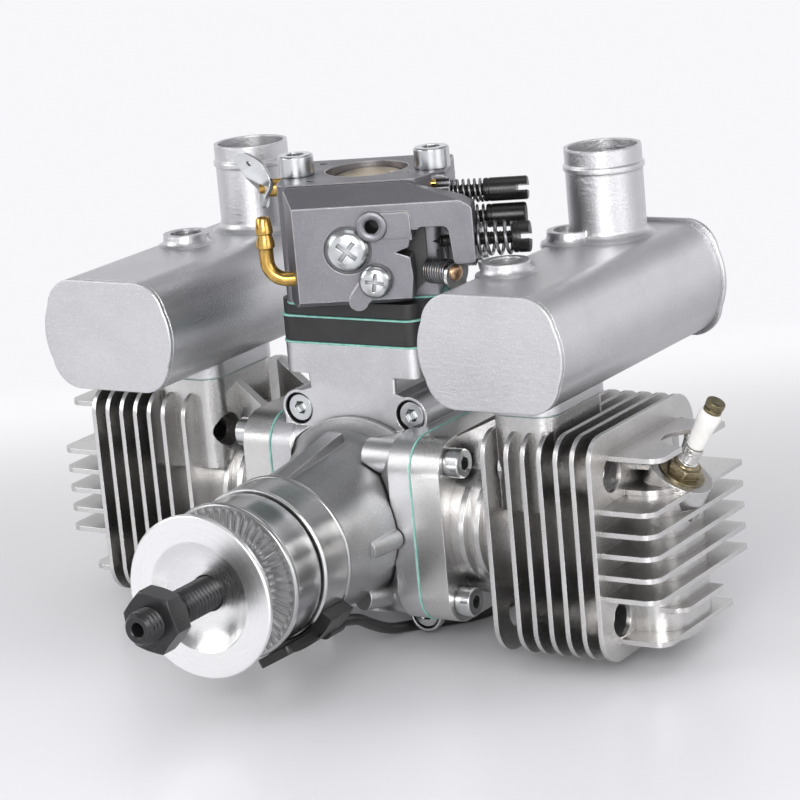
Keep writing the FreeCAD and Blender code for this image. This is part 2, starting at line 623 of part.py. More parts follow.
def cylinder(side):
    yc = SIDES[side]["y"]
    h = FLANGE_HALF
    flange_x0 = FLANGE_X + GASKET
    flange_x1 = 31.0
    pieces = [slab("x", flange_x0, flange_x1, yc - h, yc + h, -h, h, 8.0)]
    pieces.append(rod_x(yc, 0, 16.2, 20.2, flange_x0 + 1.0))
    pieces.append(rod_x(yc, 0, BARREL_R, flange_x1 - 1.0, FIN_OUTER_X))
    # Two short cooling fins near the base, like crescents.
    for x in (34.9, 39.0):
        for sy in (-1, 1):
            pieces.append(rod_x(yc + sy * 7.0, 0, 14.0, x - 0.7, x + 0.7))
    xs = [FIN_OUTER_X - FIN_PITCH * k for k in range(FIN_COUNT)]
    xs.append(xs[-1] - 1.45 * FIN_PITCH)
    for x in xs:
        pieces.append(fin_outline(x - FIN_THICK / 2, x + FIN_THICK / 2, yc))
    # Exhaust tower.
    ta, tb = SIDES[side]["tower"]
    tower = slab("z", 8.0, EXHAUST_Z, ta, tb, yc - 21.5, yc + 5.0, 4.6)
    pieces.append(tower)
    # Gussets from the base flange towards the tower.
    for yy in (yc - 12.5, yc + 7.0):
        pieces.append(prism("y", yy, yy + 2.6, [(flange_x1 - 0.5, 12.0), (ta + 1.0, 12.0), (ta + 1.0, 28.6),
                                                (flange_x1 - 0.5, 21.5)], 0))
    # Head core and plug boss.
    core = slab("z", -24.0, 12.0, 72.0, 84.2, yc - 11.6, yc + 11.6, [2.0, 7.5, 7.5, 2.0])
    pieces.append(core)
    seat, axis = plug_frame(yc)
    pieces.append(rod(seat - axis * 15.0, axis, 7.6, 15.0).common(box(68.0, 90.0, 0, 200, -30, 40)))
    pieces = pieces + head_fins(yc)
    body = fuse(pieces)
    tools = [rod_x(yc, 0, BORE_R, 10.0, CROWN_X + 0.6)]
    dome = Part.makeSphere(27.0, V(CROWN_X + 0.6 - 22.9, yc, 0))
    dome = dome.common(rod_x(yc, 0, BORE_R, CROWN_X + 0.5, CROWN_X + 8.0))
    tools.append(dome)
    # Spark plug thread and its wrench pocket.
    tools.append(rod(seat - axis * (PLUG_REACH + 0.5), axis, 5.0, PLUG_REACH + 1.0))
    tools.append(rod(seat, axis, 7.6, 30.0))
    # Holes through the fins, in line with the base screws.
    for sy in (-1, 1):
        for sz in (-1, 1):
            tools.append(rod_x(yc + sy * BASE_BOLT, sz * (BASE_BOLT + 0.3), 4.1, flange_x1 + 0.0, FIN_OUTER_X + 1.5))
            tools.append(rod_x(yc + sy * BASE_BOLT, sz * BASE_BOLT, 2.15, 20.0, flange_x1 + 1.0))
    # Exhaust passage down into the bore, transfer windows in the bore wall.
    tools.append(slab("z", 12.0, EXHAUST_Z + 1.0, ta + 4.0, tb - 4.0, yc - 16.0, yc + 0.5, 3.0))
    return flipped(cut(body, tools), side)


EXHAUST_Z = 30.2


def base_gaskets():
    shapes = []
    for side in SIDES:
        yc = SIDES[side]["y"]
        h = FLANGE_HALF
        body = slab("x", FLANGE_X, FLANGE_X + GASKET, yc - h - 0.15, yc + h + 0.15, -h - 0.15, h + 0.15, 8.0)
        tools = [rod_x(yc, 0, 16.3, 20.0, 26.0)]
        for sy in (-1, 1):
            for sz in (-1, 1):
                tools.append(rod_x(yc + sy * BASE_BOLT, sz * BASE_BOLT, 2.2, 20.0, 26.0))
        shapes.append(flipped(cut(body, tools), side))
    return Part.makeCompound(shapes)


def cylinder_screws():
    shapes = []
    for side in SIDES:
        yc = SIDES[side]["y"]
        for sy in (-1, 1):
            for sz in (-1, 1):
                seat = V(31.0, yc + sy * BASE_BOLT, sz * BASE_BOLT)
                screw = socket_screw(seat, X, 2.0, 15.6, 3.5, 4.0, 3.0)
                shapes.append(flipped(screw, side))
    return Part.makeCompound(shapes)


def plug_shells():
    shapes = []
    for side in SIDES:
        seat, axis = plug_frame(SIDES[side]["y"])
        r = PLUG_REACH
        shell = turned_on(seat, axis, [(-r, 2.6), (-r, 4.6), (0.6 - r, 5.0), (0, 5.0), (0, 6.8), (0.5, 6.8),
                                       (0.5, 3.2), (2.6, 3.2), (3.1, 2.1), (6.5, 1.9), (6.7, 2.3), (7.4, 2.3),
                                       (7.4, 1.2), (0.2, 1.2), (-0.4, 2.6)])
        nut = hexagon(seat + axis * 0.5, axis, 12.0, 2.0).cut(rod(seat, axis, 1.2, 9.0))
        shapes.append(flipped(fuse([shell, nut]), side))
    return Part.makeCompound(shapes)


def plug_insulators():
    shapes = []
    for side in SIDES:
        seat, axis = plug_frame(SIDES[side]["y"])
        body = turned_on(seat, axis, [(-13.0, 0), (-13.0, 2.6), (-0.4, 2.6), (0.2, 1.2), (7.4, 1.2), (7.4, 1.8),
                                      (7.8, 2.1), (12.0, 2.3), (15.4, 2.7), (16.4, 2.7), (17.3, 2.3), (17.3, 0)])
        shapes.append(flipped(body, side))
    return Part.makeCompound(shapes)


def plug_terminals():
    shapes = []
    for side in SIDES:
        seat, axis = plug_frame(SIDES[side]["y"])
        body = turned_on(seat, axis, [(17.3, 0), (17.3, 2.15), (18.1, 2.15), (18.2, 1.85), (18.5, 1.85), (18.6, 2.25),
                                      (19.8, 2.25), (20.0, 2.1), (20.0, 0)])
        shapes.append(flipped(body, side))
    return Part.makeCompound(shapes)


# Mufflers

def barrel_outline(grow):
    # Flat top and bottom with bulged sides.
    w = MUFFLER_HALF_X + grow
    h = MUFFLER_HALF_Z + grow
    return w, h


def barrel_face(xc, y, grow):
    w, h = barrel_outline(grow)
    flat = w - 8.6
    top = h
    sx = w - 1.5
    sz = h * 0.50
    a = V(xc - flat, y, MUFFLER_Z + top)
    b = V(xc + flat, y, MUFFLER_Z + top)
    c = V(xc + sx, y, MUFFLER_Z + sz)
    d = V(xc + sx, y, MUFFLER_Z - sz)
    e = V(xc + flat, y, MUFFLER_Z - top)
    f = V(xc - flat, y, MUFFLER_Z - top)
    g = V(xc - sx, y, MUFFLER_Z - sz)
    k = V(xc - sx, y, MUFFLER_Z + sz)
    ne = V(xc + flat + (sx - flat) * 0.66, y, MUFFLER_Z + sz + (top - sz) * 0.68)
    se = V(xc + flat + (sx - flat) * 0.66, y, MUFFLER_Z - sz - (top - sz) * 0.68)
    sw = V(xc - flat - (sx - flat) * 0.66, y, MUFFLER_Z - sz - (top - sz) * 0.68)
    nw = V(xc - flat - (sx - flat) * 0.66, y, MUFFLER_Z + sz + (top - sz) * 0.68)
    right = V(xc + w, y, MUFFLER_Z)
    left = V(xc - w, y, MUFFLER_Z)
    edges = [Part.makeLine(a, b), Part.Arc(b, ne, c).toShape(), Part.Arc(c, right, d).toShape(),
             Part.Arc(d, se, e).toShape(), Part.makeLine(e, f), Part.Arc(f, sw, g).toShape(),
             Part.Arc(g, left, k).toShape(), Part.Arc(k, nw, a).toShape()]
    return Part.Face(Part.Wire(edges))


def barrel(xc, y0, y1, grow):
    return barrel_face(xc, y0, grow).extrude(V(0, y1 - y0, 0))


STUB = {"right": (48.9, 109.4), "left": (48.9, 105.2)}
BOSSES = {"right": ((44.6, 68.7), (42.8, 102.0)), "left": ((55.6, 83.2), (50.0, 60.0))}
STUB_R = 9.2
STUB_TOP_Z = 81.4


def muffler_shell(side):
    xc = SIDES[side]["mx"]
    y0 = SIDES[side]["my"]
    wall = 0.9
    outer = barrel(xc, y0 + 1.2, y0 + MUFFLER_LENGTH - 2.0, 0)
    sx, sy = STUB[side]
    top = MUFFLER_Z + MUFFLER_HALF_Z
    stub = turned_on(V(sx, sy, top), Z, [(-2.0, 0), (-2.0, STUB_R + 2.4), (0.1, STUB_R + 2.2), (0.9, STUB_R + 0.7),
                                         (2.2, STUB_R), (15.8, STUB_R), (16.3, STUB_R + 0.45),
                                         (17.3, STUB_R + 0.45), (17.8, STUB_R), (STUB_TOP_Z - top, STUB_R),
                                         (STUB_TOP_Z - top, 0)])
    pieces = [outer]
    ta, tb = SIDES[side]["tower"]
    yc = SIDES[side]["y"]
    pieces.append(slab("z", EXHAUST_Z + GASKET, MUFFLER_Z - MUFFLER_HALF_Z + 4.0, ta - 0.6, tb + 0.6, yc - 22.3,
                       yc + 5.8, 5.0))
    for bx, by in boss_points(side):
        pieces.append(turned_on(V(bx, by, top), Z, [(-1.0, 0), (-1.0, 7.4), (0.05, 7.2), (0.5, 6.2), (1.3, 5.7),
                                                    (2.8, 5.6), (2.8, 0)]))
    ports = [rod_z(bx, by, 4.0, MUFFLER_Z, top + 4.0) for bx, by in boss_points(side)]
    body = fuse([cut(fuse(pieces), ports), stub])
    tools = [barrel(xc, y0 - 1.0, y0 + MUFFLER_LENGTH + 1.0, -wall)]
    tools.append(rod_z(sx, sy, STUB_R - wall, MUFFLER_Z, STUB_TOP_Z + 1.0))
    tools.append(slab("z", EXHAUST_Z, MUFFLER_Z, ta + 4.0, tb - 4.0, yc - 16.0, yc + 0.5, 3.0))
    return flipped(cut(body, tools), side)


def boss_points(side):
    if side == "right":
        return ((44.6, 68.7), (42.8, 102.0))
    return ((55.4, 83.2),)


def muffler_caps(side):
    xc = SIDES[side]["mx"]
    y0 = SIDES[side]["my"]
    y1 = y0 + MUFFLER_LENGTH
    wall = 0.9
    front = barrel(xc, y0, y0 + 1.2, 0.0)
    front = front.fuse(barrel(xc, y0 + 1.0, y0 + 4.0, -wall - 0.02).cut(barrel(xc, y0 + 1.2, y0 + 5.0, -wall - 1.0)))
    rear = barrel(xc, y1 - 2.0, y1 - 0.8, 0.9).fuse(barrel(xc, y1 - 1.0, y1, 0.4))
    rear = rear.fuse(barrel(xc, y1 - 5.0, y1 - 1.8, -wall - 0.02).cut(barrel(xc, y1 - 6.0, y1 - 2.0, -wall - 1.0)))
    return flipped(Part.makeCompound([front, rear]), side)


def exhaust_gaskets():
    shapes = []
    for side in SIDES:
        yc = SIDES[side]["y"]
        ta, tb = SIDES[side]["tower"]
        body = slab("z", EXHAUST_Z, EXHAUST_Z + GASKET, ta + 0.2, tb - 0.2, yc - 21.3, yc + 4.8, 4.4)
        body = body.cut(slab("z", EXHAUST_Z - 1.0, EXHAUST_Z + 2.0, ta + 4.0, tb - 4.0, yc - 16.0, yc + 0.5, 3.0))
        shapes.append(flipped(body, side))
    return Part.makeCompound(shapes)


# Intake between the case and the carburettor

LOWER_Z0 = NECK_TOP_Z + GASKET
LOWER_Z1 = 47.0
UPPER_Z0 = LOWER_Z1 + GASKET
UPPER_Z1 = CARB_BASE_Z - GASKET
THROAT_R = 7.5
CARB_SCREW_U = 16.25
CARB_SCREW_V = 0.6
BORE_V = 4.0


def carb_point(u, v):
    # From the carburettor's own axes (u to its right, v to its rear) to the engine's.
    a = math.radians(CARB_TURN)
    return (u * math.cos(a) - v * math.sin(a), CARB_Y + u * math.sin(a) + v * math.cos(a))


def spacer(z0, z1, grow, hole):
    h = SPACER_HALF_X + grow
    d = SPACER_DEPTH / 2 + grow
    body = slab("z", z0, z1, -h, h, CARB_Y - d, CARB_Y + d, 3.6)
    tools = []
    if hole:
        c = carb_point(0, BORE_V)
        tools.append(rod_z(c[0], c[1], THROAT_R, z0 - 1.0, z1 + 1.0))
    for sx in (-1, 1):
        c = carb_point(sx * CARB_SCREW_U, CARB_SCREW_V)
        tools.append(rod_z(c[0], c[1], 2.6, z0 - 1.0, z1 + 1.0))
    return cut(body, tools)


def insulator_blocks():
    lower = spacer(LOWER_Z0, LOWER_Z1, 0, True)
    upper = spacer(UPPER_Z0, UPPER_Z1, -0.2, True)
    return Part.makeCompound([lower, upper])


def intake_gaskets():
    first = spacer(NECK_TOP_Z, LOWER_Z0, 0.15, True)
    second = spacer(LOWER_Z1, UPPER_Z0, 0.15, True)
    third = turned_z(slab("z", UPPER_Z1, CARB_BASE_Z, -19.6, 19.6, CARB_Y - 12.8, CARB_Y + 15.0, 4.0),
                     CARB_TURN, 0, CARB_Y)
    c = carb_point(0, BORE_V)
    tools = [rod_z(c[0], c[1], THROAT_R, UPPER_Z1 - 1.0, CARB_BASE_Z + 1.0)]
    for sx in (-1, 1):
        c = carb_point(sx * CARB_SCREW_U, CARB_SCREW_V)
        tools.append(rod_z(c[0], c[1], 2.6, UPPER_Z1 - 1.0, CARB_BASE_Z + 1.0))
    return Part.makeCompound([first, second, cut(third, tools)])


def reed_block():
    top = slab("z", NECK_TOP_Z - 5.6, NECK_TOP_Z, -11.6, 11.6, CARB_Y - 10.5, CARB_Y + 10.5, 2.0)
    low = [(-8.6, NECK_TOP_Z - 5.6), (8.6, NECK_TOP_Z - 5.6), (1.2, NECK_TOP_Z - 17.0), (-1.2, NECK_TOP_Z - 17.0)]
    wedge = prism("y", CARB_Y - 8.0, CARB_Y + 8.0, low, 0)
    body = top.fuse(wedge)
    inner = [(-7.4, NECK_TOP_Z + 1.0), (7.4, NECK_TOP_Z + 1.0), (6.4, NECK_TOP_Z - 5.0), (0.4, NECK_TOP_Z - 15.0),
             (-0.4, NECK_TOP_Z - 15.0), (-6.4, NECK_TOP_Z - 5.0)]
    return body.cut(prism("y", CARB_Y - 6.6, CARB_Y + 6.6, inner, 0))


def reed_petals():
    shapes = []
    slope = math.atan2(7.4, 11.4)
    for sx in (-1, 1):
        a = V(sx * 8.6, CARB_Y - 7.4, NECK_TOP_Z - 5.6)
        b = V(sx * 1.2, CARB_Y - 7.4, NECK_TOP_Z - 17.0)
        out = V(sx * math.cos(slope), 0, -math.sin(slope)) * 0.3
        face = Part.Face(Part.makePolygon([a, b, b + out, a + out, a]))
        shapes.append(face.extrude(V(0, 14.8, 0)).cut(box(-20, 20, 0, 200, NECK_TOP_Z - 5.6, 60)))
    return Part.makeCompound(shapes)


# Carburettor, drawn square at the origin of its own axes and then turned and moved into place

def carb_placed(shape):
    out = shape.copy()
    out.rotate(V(0, 0, 0), Z, CARB_TURN)
    out.translate(V(0, CARB_Y, 0))
    return out


CHOKE_Z = 76.3
THROTTLE_Z = 57.6
BORE_TOP_R = 9.9
SHAFT_R = 1.25
BODY_FRONT = -12.6
BODY_REAR = 17.8
COVER_FRONT = -20.0
HIGH_NEEDLE = (-2.6, 74.0, 17.4)
LOW_NEEDLE = (-3.7, 68.0, 15.0)
ARM_U = 20.9
IDLE_ARM_U = 27.4
IDLE_SCREW = (-14.6, 64.9, 17.0)
INLET_PLUG = (-6.4, 77.0)
INLET_PLUG_R = 1.1


def carb_body():
    low = slab("z", CARB_BASE_Z, 70.0, -19.4, 19.6, BODY_FRONT, BODY_REAR, [3.0, 3.0, 4.5, 3.0])
    top = prism("z", 69.0, CARB_TOP_Z, [(-19.4, BODY_FRONT), (13.6, BODY_FRONT), (19.6, -2.6), (19.6, BODY_REAR),
                                        (-19.4, BODY_REAR)], [3.0, 0.8, 1.0, 4.5, 3.0])
    arm = slab("y", -7.0, 5.0, 16.0, ARM_U, 65.0, CARB_TOP_Z - 0.6, 2.0)
    spring_boss = rod_x(BORE_V, THROTTLE_Z, 3.4, 17.0, 20.8)
    body = fuse([low, top, arm, spring_boss])
    tools = [rod_z(0, BORE_V, THROAT_R, CARB_BASE_Z - 1.0, CARB_TOP_Z + 1.0)]
    tools.append(turned_on(V(0, BORE_V, 64.0), Z, [(0, 0), (0, THROAT_R), (6.0, BORE_TOP_R), (17.0, BORE_TOP_R),
                                                   (17.0, 0)]))
    for sx in (-1, 1):
        tools.append(rod_z(sx * CARB_SCREW_U, CARB_SCREW_V, 2.05, CARB_BASE_Z - 1.0, CARB_TOP_Z + 1.0))
    tools.append(rod_x(BORE_V, CHOKE_Z, SHAFT_R + RUN, -30.0, 30.0))
    tools.append(rod_x(BORE_V, THROTTLE_Z, SHAFT_R + RUN, -30.0, 30.0))
    tools.append(rod_x(HIGH_NEEDLE[0], HIGH_NEEDLE[1], 1.6 + RUN, HIGH_NEEDLE[2] - 1.0, 30.0))
    tools.append(rod_x(LOW_NEEDLE[0], LOW_NEEDLE[1], 1.6 + RUN, LOW_NEEDLE[2] - 1.0, 30.0))
    tools.append(rod_x(INLET_PLUG[0], INLET_PLUG[1], INLET_PLUG_R, 12.0, 30.0))
    for sx in (-1, 1):
        for sz in (-1, 1):
            tools.append(rod_y(sx * 13.6, 66.0 + sz * 9.6, 1.5, BODY_REAR - 3.0, BODY_REAR + 1.0))
    tools.append(rod_y(-2.2, 65.0, 2.0, BODY_FRONT - 1.0, BODY_FRONT + 5.9))
    tools.append(rod_y(3.9, 57.6, 1.5, BODY_FRONT - 1.0, BODY_FRONT + 5.2))
    # Notch at the lower right corner for the throttle lever and its spring.
    tools.append(box(17.4, 30.0, -30.0, BORE_V - 3.5, 40.0, 62.6))
    # Small vent holes in the top face.
    for u, v, r in ((-11.5, -8.1, 1.2), (-11.9, 13.3, 1.2), (9.0, 13.3, 0.9), (11.5, -4.0, 1.0)):
        tools.append(rod_z(u, v, r, CARB_TOP_Z - 3.0, CARB_TOP_Z + 1.0))
    return carb_placed(cut(body, tools))


def inlet_plug():
    return carb_placed(rod_x(INLET_PLUG[0], INLET_PLUG[1], INLET_PLUG_R, 12.0, 17.9))


ELBOW_POINT = (-19.0, -16.7, 58.4)
ELBOW_R = 1.75
ELBOW_TOP_Z = 73.3
COVER_OUTLINE = [(-17.4, 51.9), (11.0, 51.9), (15.6, 55.4), (16.8, 60.4), (13.6, 66.8), (14.6, 69.6), (21.6, 69.4),
                 (22.4, 60.4), (IDLE_ARM_U, 60.4), (IDLE_ARM_U, 73.6), (24.6, 75.4), (11.4, 79.2), (-17.4, 79.2)]


def pump_cover():
    radii = [1.2, 2.0, 2.0, 3.0, 2.0, 1.4, 1.6, 1.0, 1.0, 1.4, 3.0, 4.0, 1.4]
    back = BODY_FRONT - 0.8
    body = prism("y", COVER_FRONT, back, COVER_OUTLINE, radii)
    # Sloped faces along the top and the left side.
    slope = prism("x", -40.0, 40.0, [(COVER_FRONT - 1.0, 74.2), (COVER_FRONT, 75.2), (back - 0.6, 79.2),
                                     (back - 0.6, 90.0), (COVER_FRONT - 1.0, 90.0)], 0)
    side = prism("z", 40.0, 90.0, [(-15.0, COVER_FRONT - 1.0), (-14.6, COVER_FRONT), (-17.4, back - 0.6),
                                   (-30.0, back - 0.6), (-30.0, COVER_FRONT - 1.0)], 0)
    bottom = prism("x", -40.0, 40.0, [(COVER_FRONT - 1.0, 53.4), (COVER_FRONT, 53.0), (COVER_FRONT + 1.4, 51.9),
                                      (COVER_FRONT + 1.4, 40.0), (COVER_FRONT - 1.0, 40.0)], 0)
    body = cut(body, [slope, side, bottom])
    boss = rod_y(4.0, 70.4, 3.5, COVER_FRONT - 1.0, back)
    bridge = slab("y", COVER_FRONT - 0.6, COVER_FRONT + 1.0, 4.0, 13.0, 67.4, 73.4, 1.2)
    lug = rod_y(-0.6, 52.9, 2.3, COVER_FRONT - 0.5, COVER_FRONT + 1.0)
    lug_arm = prism("y", COVER_FRONT - 0.5, COVER_FRONT + 1.0, [(-2.6, 54.2), (1.2, 51.8), (6.2, 56.2), (2.0, 60.2)], 0.6)
    body = body.fuse([boss, bridge, lug, lug_arm])
    tools = [rod_y(4.0, 70.4, 1.7, COVER_FRONT - 2.0, back + 1.0)]
    tools.append(rod_y(-2.2, 65.0, 5.6, COVER_FRONT - 2.0, COVER_FRONT + 0.6))
    tools.append(rod_y(-2.2, 65.0, 2.05, COVER_FRONT - 2.0, back + 1.0))
    tools.append(rod_y(3.9, 57.6, 1.55, COVER_FRONT - 2.0, back + 1.0))
    # Idle screw passes through the hanging arm.
    tools.append(rod_x(IDLE_SCREW[0], IDLE_SCREW[1], 1.6 + RUN, 12.0, 40.0))
    tools.append(box(13.0, 20.6, COVER_FRONT - 2.0, back + 1.0, 60.6, 69.0))
    tools.append(rod_x(ELBOW_POINT[1], ELBOW_POINT[2], ELBOW_R, -30.0, -14.8))
    return carb_placed(cut(body, tools).removeSplitter())


def carb_gaskets():
    front = prism("y", BODY_FRONT - 0.8, BODY_FRONT, [(-17.2, 52.1), (10.8, 52.1), (15.2, 56.0), (15.2, 78.0),
                                                      (-17.2, 78.8)], 1.2)
    front = front.cut(rod_y(-2.2, 65.0, 2.05, -20.0, 0.0))
    front = front.cut(rod_y(3.9, 57.6, 1.55, -20.0, 0.0))
    rear = slab("y", BODY_REAR, BODY_REAR + 0.8, -17.0, 17.0, 53.0, 79.0, 2.0)
    tools = []
    for sx in (-1, 1):
        for sz in (-1, 1):
            tools.append(rod_y(sx * 13.6, 66.0 + sz * 9.6, 1.6, BODY_REAR - 1.0, BODY_REAR + 2.0))
    return carb_placed(Part.makeCompound([front, cut(rear, tools)]))


def metering_cover():
    y0 = BODY_REAR + 0.8
    plate = slab("y", y0, y0 + 2.4, -17.0, 17.0, 53.0, 79.0, 2.0)
    dome = turned_on(V(0, y0 + 2.4, 66.0), Y, [(0, 0), (0, 10.4), (1.4, 9.6), (1.4, 0)])
    tools = [rod_y(0, 66.0, 0.9, y0 - 1.0, y0 + 6.0)]
    tools.append(turned_on(V(0, y0, 66.0), Y, [(-1.0, 0), (-1.0, 9.0), (1.6, 8.4), (1.6, 0)]))
    for sx in (-1, 1):
        for sz in (-1, 1):
            tools.append(rod_y(sx * 13.6, 66.0 + sz * 9.6, 1.6, y0 - 1.0, y0 + 4.0))
    return carb_placed(cut(plate.fuse(dome), tools))


def pan_screw(x, z, y_seat, head_r, head_h, shank_r, shank_len, out, turn):
    # A domed head with a cross recess; out is the way the head stands along Y.
    profile = [(-shank_len, 0), (-shank_len, shank_r), (0, shank_r), (0, head_r), (head_h * 0.45, head_r),
               (head_h * 0.8, head_r * 0.84), (head_h, head_r * 0.5), (head_h, 0)]
    body = turned_on(V(x, y_seat, z), V(0, out, 0), profile)
    tools = []
    for k in range(2):
        bar = slab("y", -0.5, 0.5, -head_r * 0.56, head_r * 0.56, -head_r * 0.1, head_r * 0.1, 0)
        bar = box(-head_r * 0.56, head_r * 0.56, -0.9, 0.9, -head_r * 0.11, head_r * 0.11)
        bar.rotate(V(0, 0, 0), Y, turn + 90 * k)
        bar.translate(V(x, y_seat + out * head_h, z))
        tools.append(bar)
    return body.cut(Part.makeCompound(tools))


def cover_screws():
    shapes = [pan_screw(-2.2, 65.0, COVER_FRONT + 0.6, 5.0, 2.6, 2.0, 12.6, -1, 40.0)]
    shapes.append(pan_screw(3.9, 57.6, COVER_FRONT - 0.5, 3.9, 2.6, 1.5, 13.0, -1, 10.0))
    for sx in (-1, 1):
        for sz in (-1, 1):
            shapes.append(pan_screw(sx * 13.6, 66.0 + sz * 9.6, BODY_REAR + 3.2, 2.8, 1.9, 1.5, 5.8, 1, 20.0))
    return carb_placed(Part.makeCompound(shapes))


def carb_screws():
    shapes = []
    for sx in (-1, 1):
        seat = V(sx * CARB_SCREW_U, CARB_SCREW_V, CARB_TOP_Z)
        screw = socket_screw(seat, Z, 2.0, CARB_TOP_Z - NECK_TOP_Z + 2.0, 4.25, 5.0, 4.0)
        end = rod(seat - Z * (CARB_TOP_Z - NECK_FOOT_Z - 0.8), Z, 2.5, 6.0)
        shapes.append(screw.fuse(end))
    return carb_placed(Part.makeCompound(shapes))


def fuel_elbow():
    r = ELBOW_R
    u, v, z = ELBOW_POINT
    start = V(-14.8, v, z)
    corner = 3.0
    path = [Part.makeLine(start, V(u, v, z))]
    c = V(u, v, z + corner)
    mid = c + V(-math.sin(math.radians(45)), 0, -math.cos(math.radians(45))) * corner
    path.append(Part.Arc(V(u, v, z), mid, V(u - corner, v, z + corner)).toShape())
    top = V(u - corner, v, ELBOW_TOP_Z - 6.4)
    path.append(Part.makeLine(V(u - corner, v, z + corner), top))
    wire = Part.Wire(path)
    circle = Part.Wire(Part.makeCircle(r, start, X))
    tube = wire.makePipeShell([circle], True, False)
    barb = turned_on(top - V(0, 0, 0.2), Z, [(0, 0), (0, r), (1.0, 2.15), (1.8, 2.15), (2.2, 1.7), (4.4, 2.0),
                                             (5.2, 2.0), (6.6, 1.5), (6.6, 0)])
    body = tube.fuse(barb).removeSplitter()
    bore = rod(top - V(0, 0, 1.0), Z, 1.0, 10.0)
    return carb_placed(body.cut(bore))


def shaft_across(z, x0, x1):
    return rod_x(BORE_V, z, SHAFT_R, x0, x1)


def butterfly(z, radius, thick, tilt, hole):
    disc = rod(V(0, BORE_V, z - thick / 2), Z, radius, thick)
    disc = disc.cut(rod_x(BORE_V, z, SHAFT_R, -20.0, 20.0))
    if hole:
        disc = disc.cut(rod(V(5.2, BORE_V + 4.6, z - 2.0), Z, hole, 4.0))
    disc.rotate(V(0, BORE_V, z), X, tilt)
    return disc


def throttle_shaft():
    return carb_placed(shaft_across(THROTTLE_Z, -19.4, 27.4))


def throttle_plate():
    return carb_placed(butterfly(THROTTLE_Z, THROAT_R - 0.12, 0.8, 12.0, 0))


def throttle_lever():
    x0 = 25.0
    z = THROTTLE_Z
    v = BORE_V
    plate = prism("x", x0, x0 + 1.4, [(v - 3.6, z - 1.4), (v - 1.2, z - 4.2), (v + 3.2, z - 3.4),
                                      (v + 8.6, z + 6.6), (v + 5.4, z + 8.6), (v - 2.0, z + 4.6)],
                  [2.0, 2.0, 2.0, 1.6, 1.6, 2.0])
    tail = prism("x", x0, x0 + 1.4, [(v - 8.4, z + 1.6), (v + 0.0, z - 2.6), (v + 0.0, z + 4.2),
                                     (v - 8.4, z + 4.6)], [1.2, 0.4, 0.4, 1.2])
    body = plate.fuse(tail)
    tools = [rod_x(v, z, SHAFT_R, 20.0, 30.0), rod_x(v + 5.8, z + 6.2, 0.8, 20.0, 30.0)]
    return carb_placed(cut(body, tools))


def throttle_spring():
    outer = rod_x(BORE_V, THROTTLE_Z, 3.0, 20.8, 24.8)
    return carb_placed(outer.cut(rod_x(BORE_V, THROTTLE_Z, 2.0, 15.0, 30.0)))


def choke_shaft():
    return carb_placed(shaft_across(CHOKE_Z, -26.2, 19.4).fuse(rod_x(BORE_V, CHOKE_Z, 2.2, -24.5, -19.7)))


def choke_plate():
    return carb_placed(butterfly(CHOKE_Z, BORE_TOP_R - 0.2, 0.7, 9.0, 0.9))


def choke_lever():
    x0 = -25.9
    z = CHOKE_Z
    v = BORE_V
    body = prism("x", x0, x0 + 1.4, [(v - 3.4, z - 3.2), (v + 1.2, z - 4.6), (v + 3.2, z - 2.6),
                                     (v + 4.2, z + 2.6), (v + 8.6, z + 7.6), (v + 4.6, z + 10.4),
                                     (v - 4.0, z + 2.2)], [1.2, 1.0, 1.0, 1.6, 2.4, 2.4, 2.0])
    tools = [rod_x(v + 5.4, z + 7.2, 0.9, -30.0, -20.0), rod_x(v, z, SHAFT_R, -30.0, -20.0)]
    return carb_placed(cut(body, tools))


CAP_R = 2.8


def adjuster(place, x_cap, x_end, cap_r, slot):
    # A thin stem with a pointed tip and a slotted cap.
    v, z, x_tip = place
    stem = turned_on(V(x_tip, v, z), X, [(0, 0), (2.4, 1.1), (3.0, 1.6), (x_cap - x_tip, 1.6), (x_cap - x_tip, 0)])
    cap = turned_on(V(x_cap, v, z), X, [(0, 0), (0, cap_r - 0.3), (0.3, cap_r), (x_end - x_cap - 0.4, cap_r),
                                        (x_end - x_cap, cap_r - 0.4), (x_end - x_cap, 0)])
    body = stem.fuse(cap)
    groove = box(x_end - 2.4, x_end + 1.0, v - 5.0, v + 5.0, z - 0.6, z + 0.6)
    groove.rotate(V(x_end, v, z), X, slot)
    return body.cut(groove)


def high_needle():
    return carb_placed(adjuster(HIGH_NEEDLE, 28.4, 38.8, CAP_R, 4.0))


def low_needle():
    return carb_placed(adjuster(LOW_NEEDLE, 28.8, 38.1, CAP_R, 80.0))


def idle_screw():
    return carb_placed(adjuster(IDLE_SCREW, 35.9, 39.9, 3.7, 8.0))


def adjuster_springs():
    shapes = []
    for place, a, b, r in ((HIGH_NEEDLE, ARM_U + 0.05, 28.3, CAP_R + 0.1), (LOW_NEEDLE, ARM_U + 0.05, 28.7, CAP_R + 0.1),
                           (IDLE_SCREW, IDLE_ARM_U + 0.1, 35.8, 4.2)):
        v, z, tip = place
        shapes.append(rod_x(v, z, r, a, b).cut(rod_x(v, z, r - 0.9, a - 1.0, b + 1.0)))
    return carb_placed(Part.makeCompound(shapes))


# Ignition pickup at the lower right of the nose ring, its lead and connector

SENSOR_PAD_R = 18.4
SENSOR_FOOT_ANGLE = -12.0
TONGUE_ANGLE = 28.0
BAND_R = 21.4
BAND_FROM = 58.0
BAND_TO = -22.0
LEAD_R = 1.35
LEAD_X = 11.6
LEAD_Z = -16.5
LEAD_START_Y = 36.0
LEAD_LOW_Z = TABLE_Z + LEAD_R


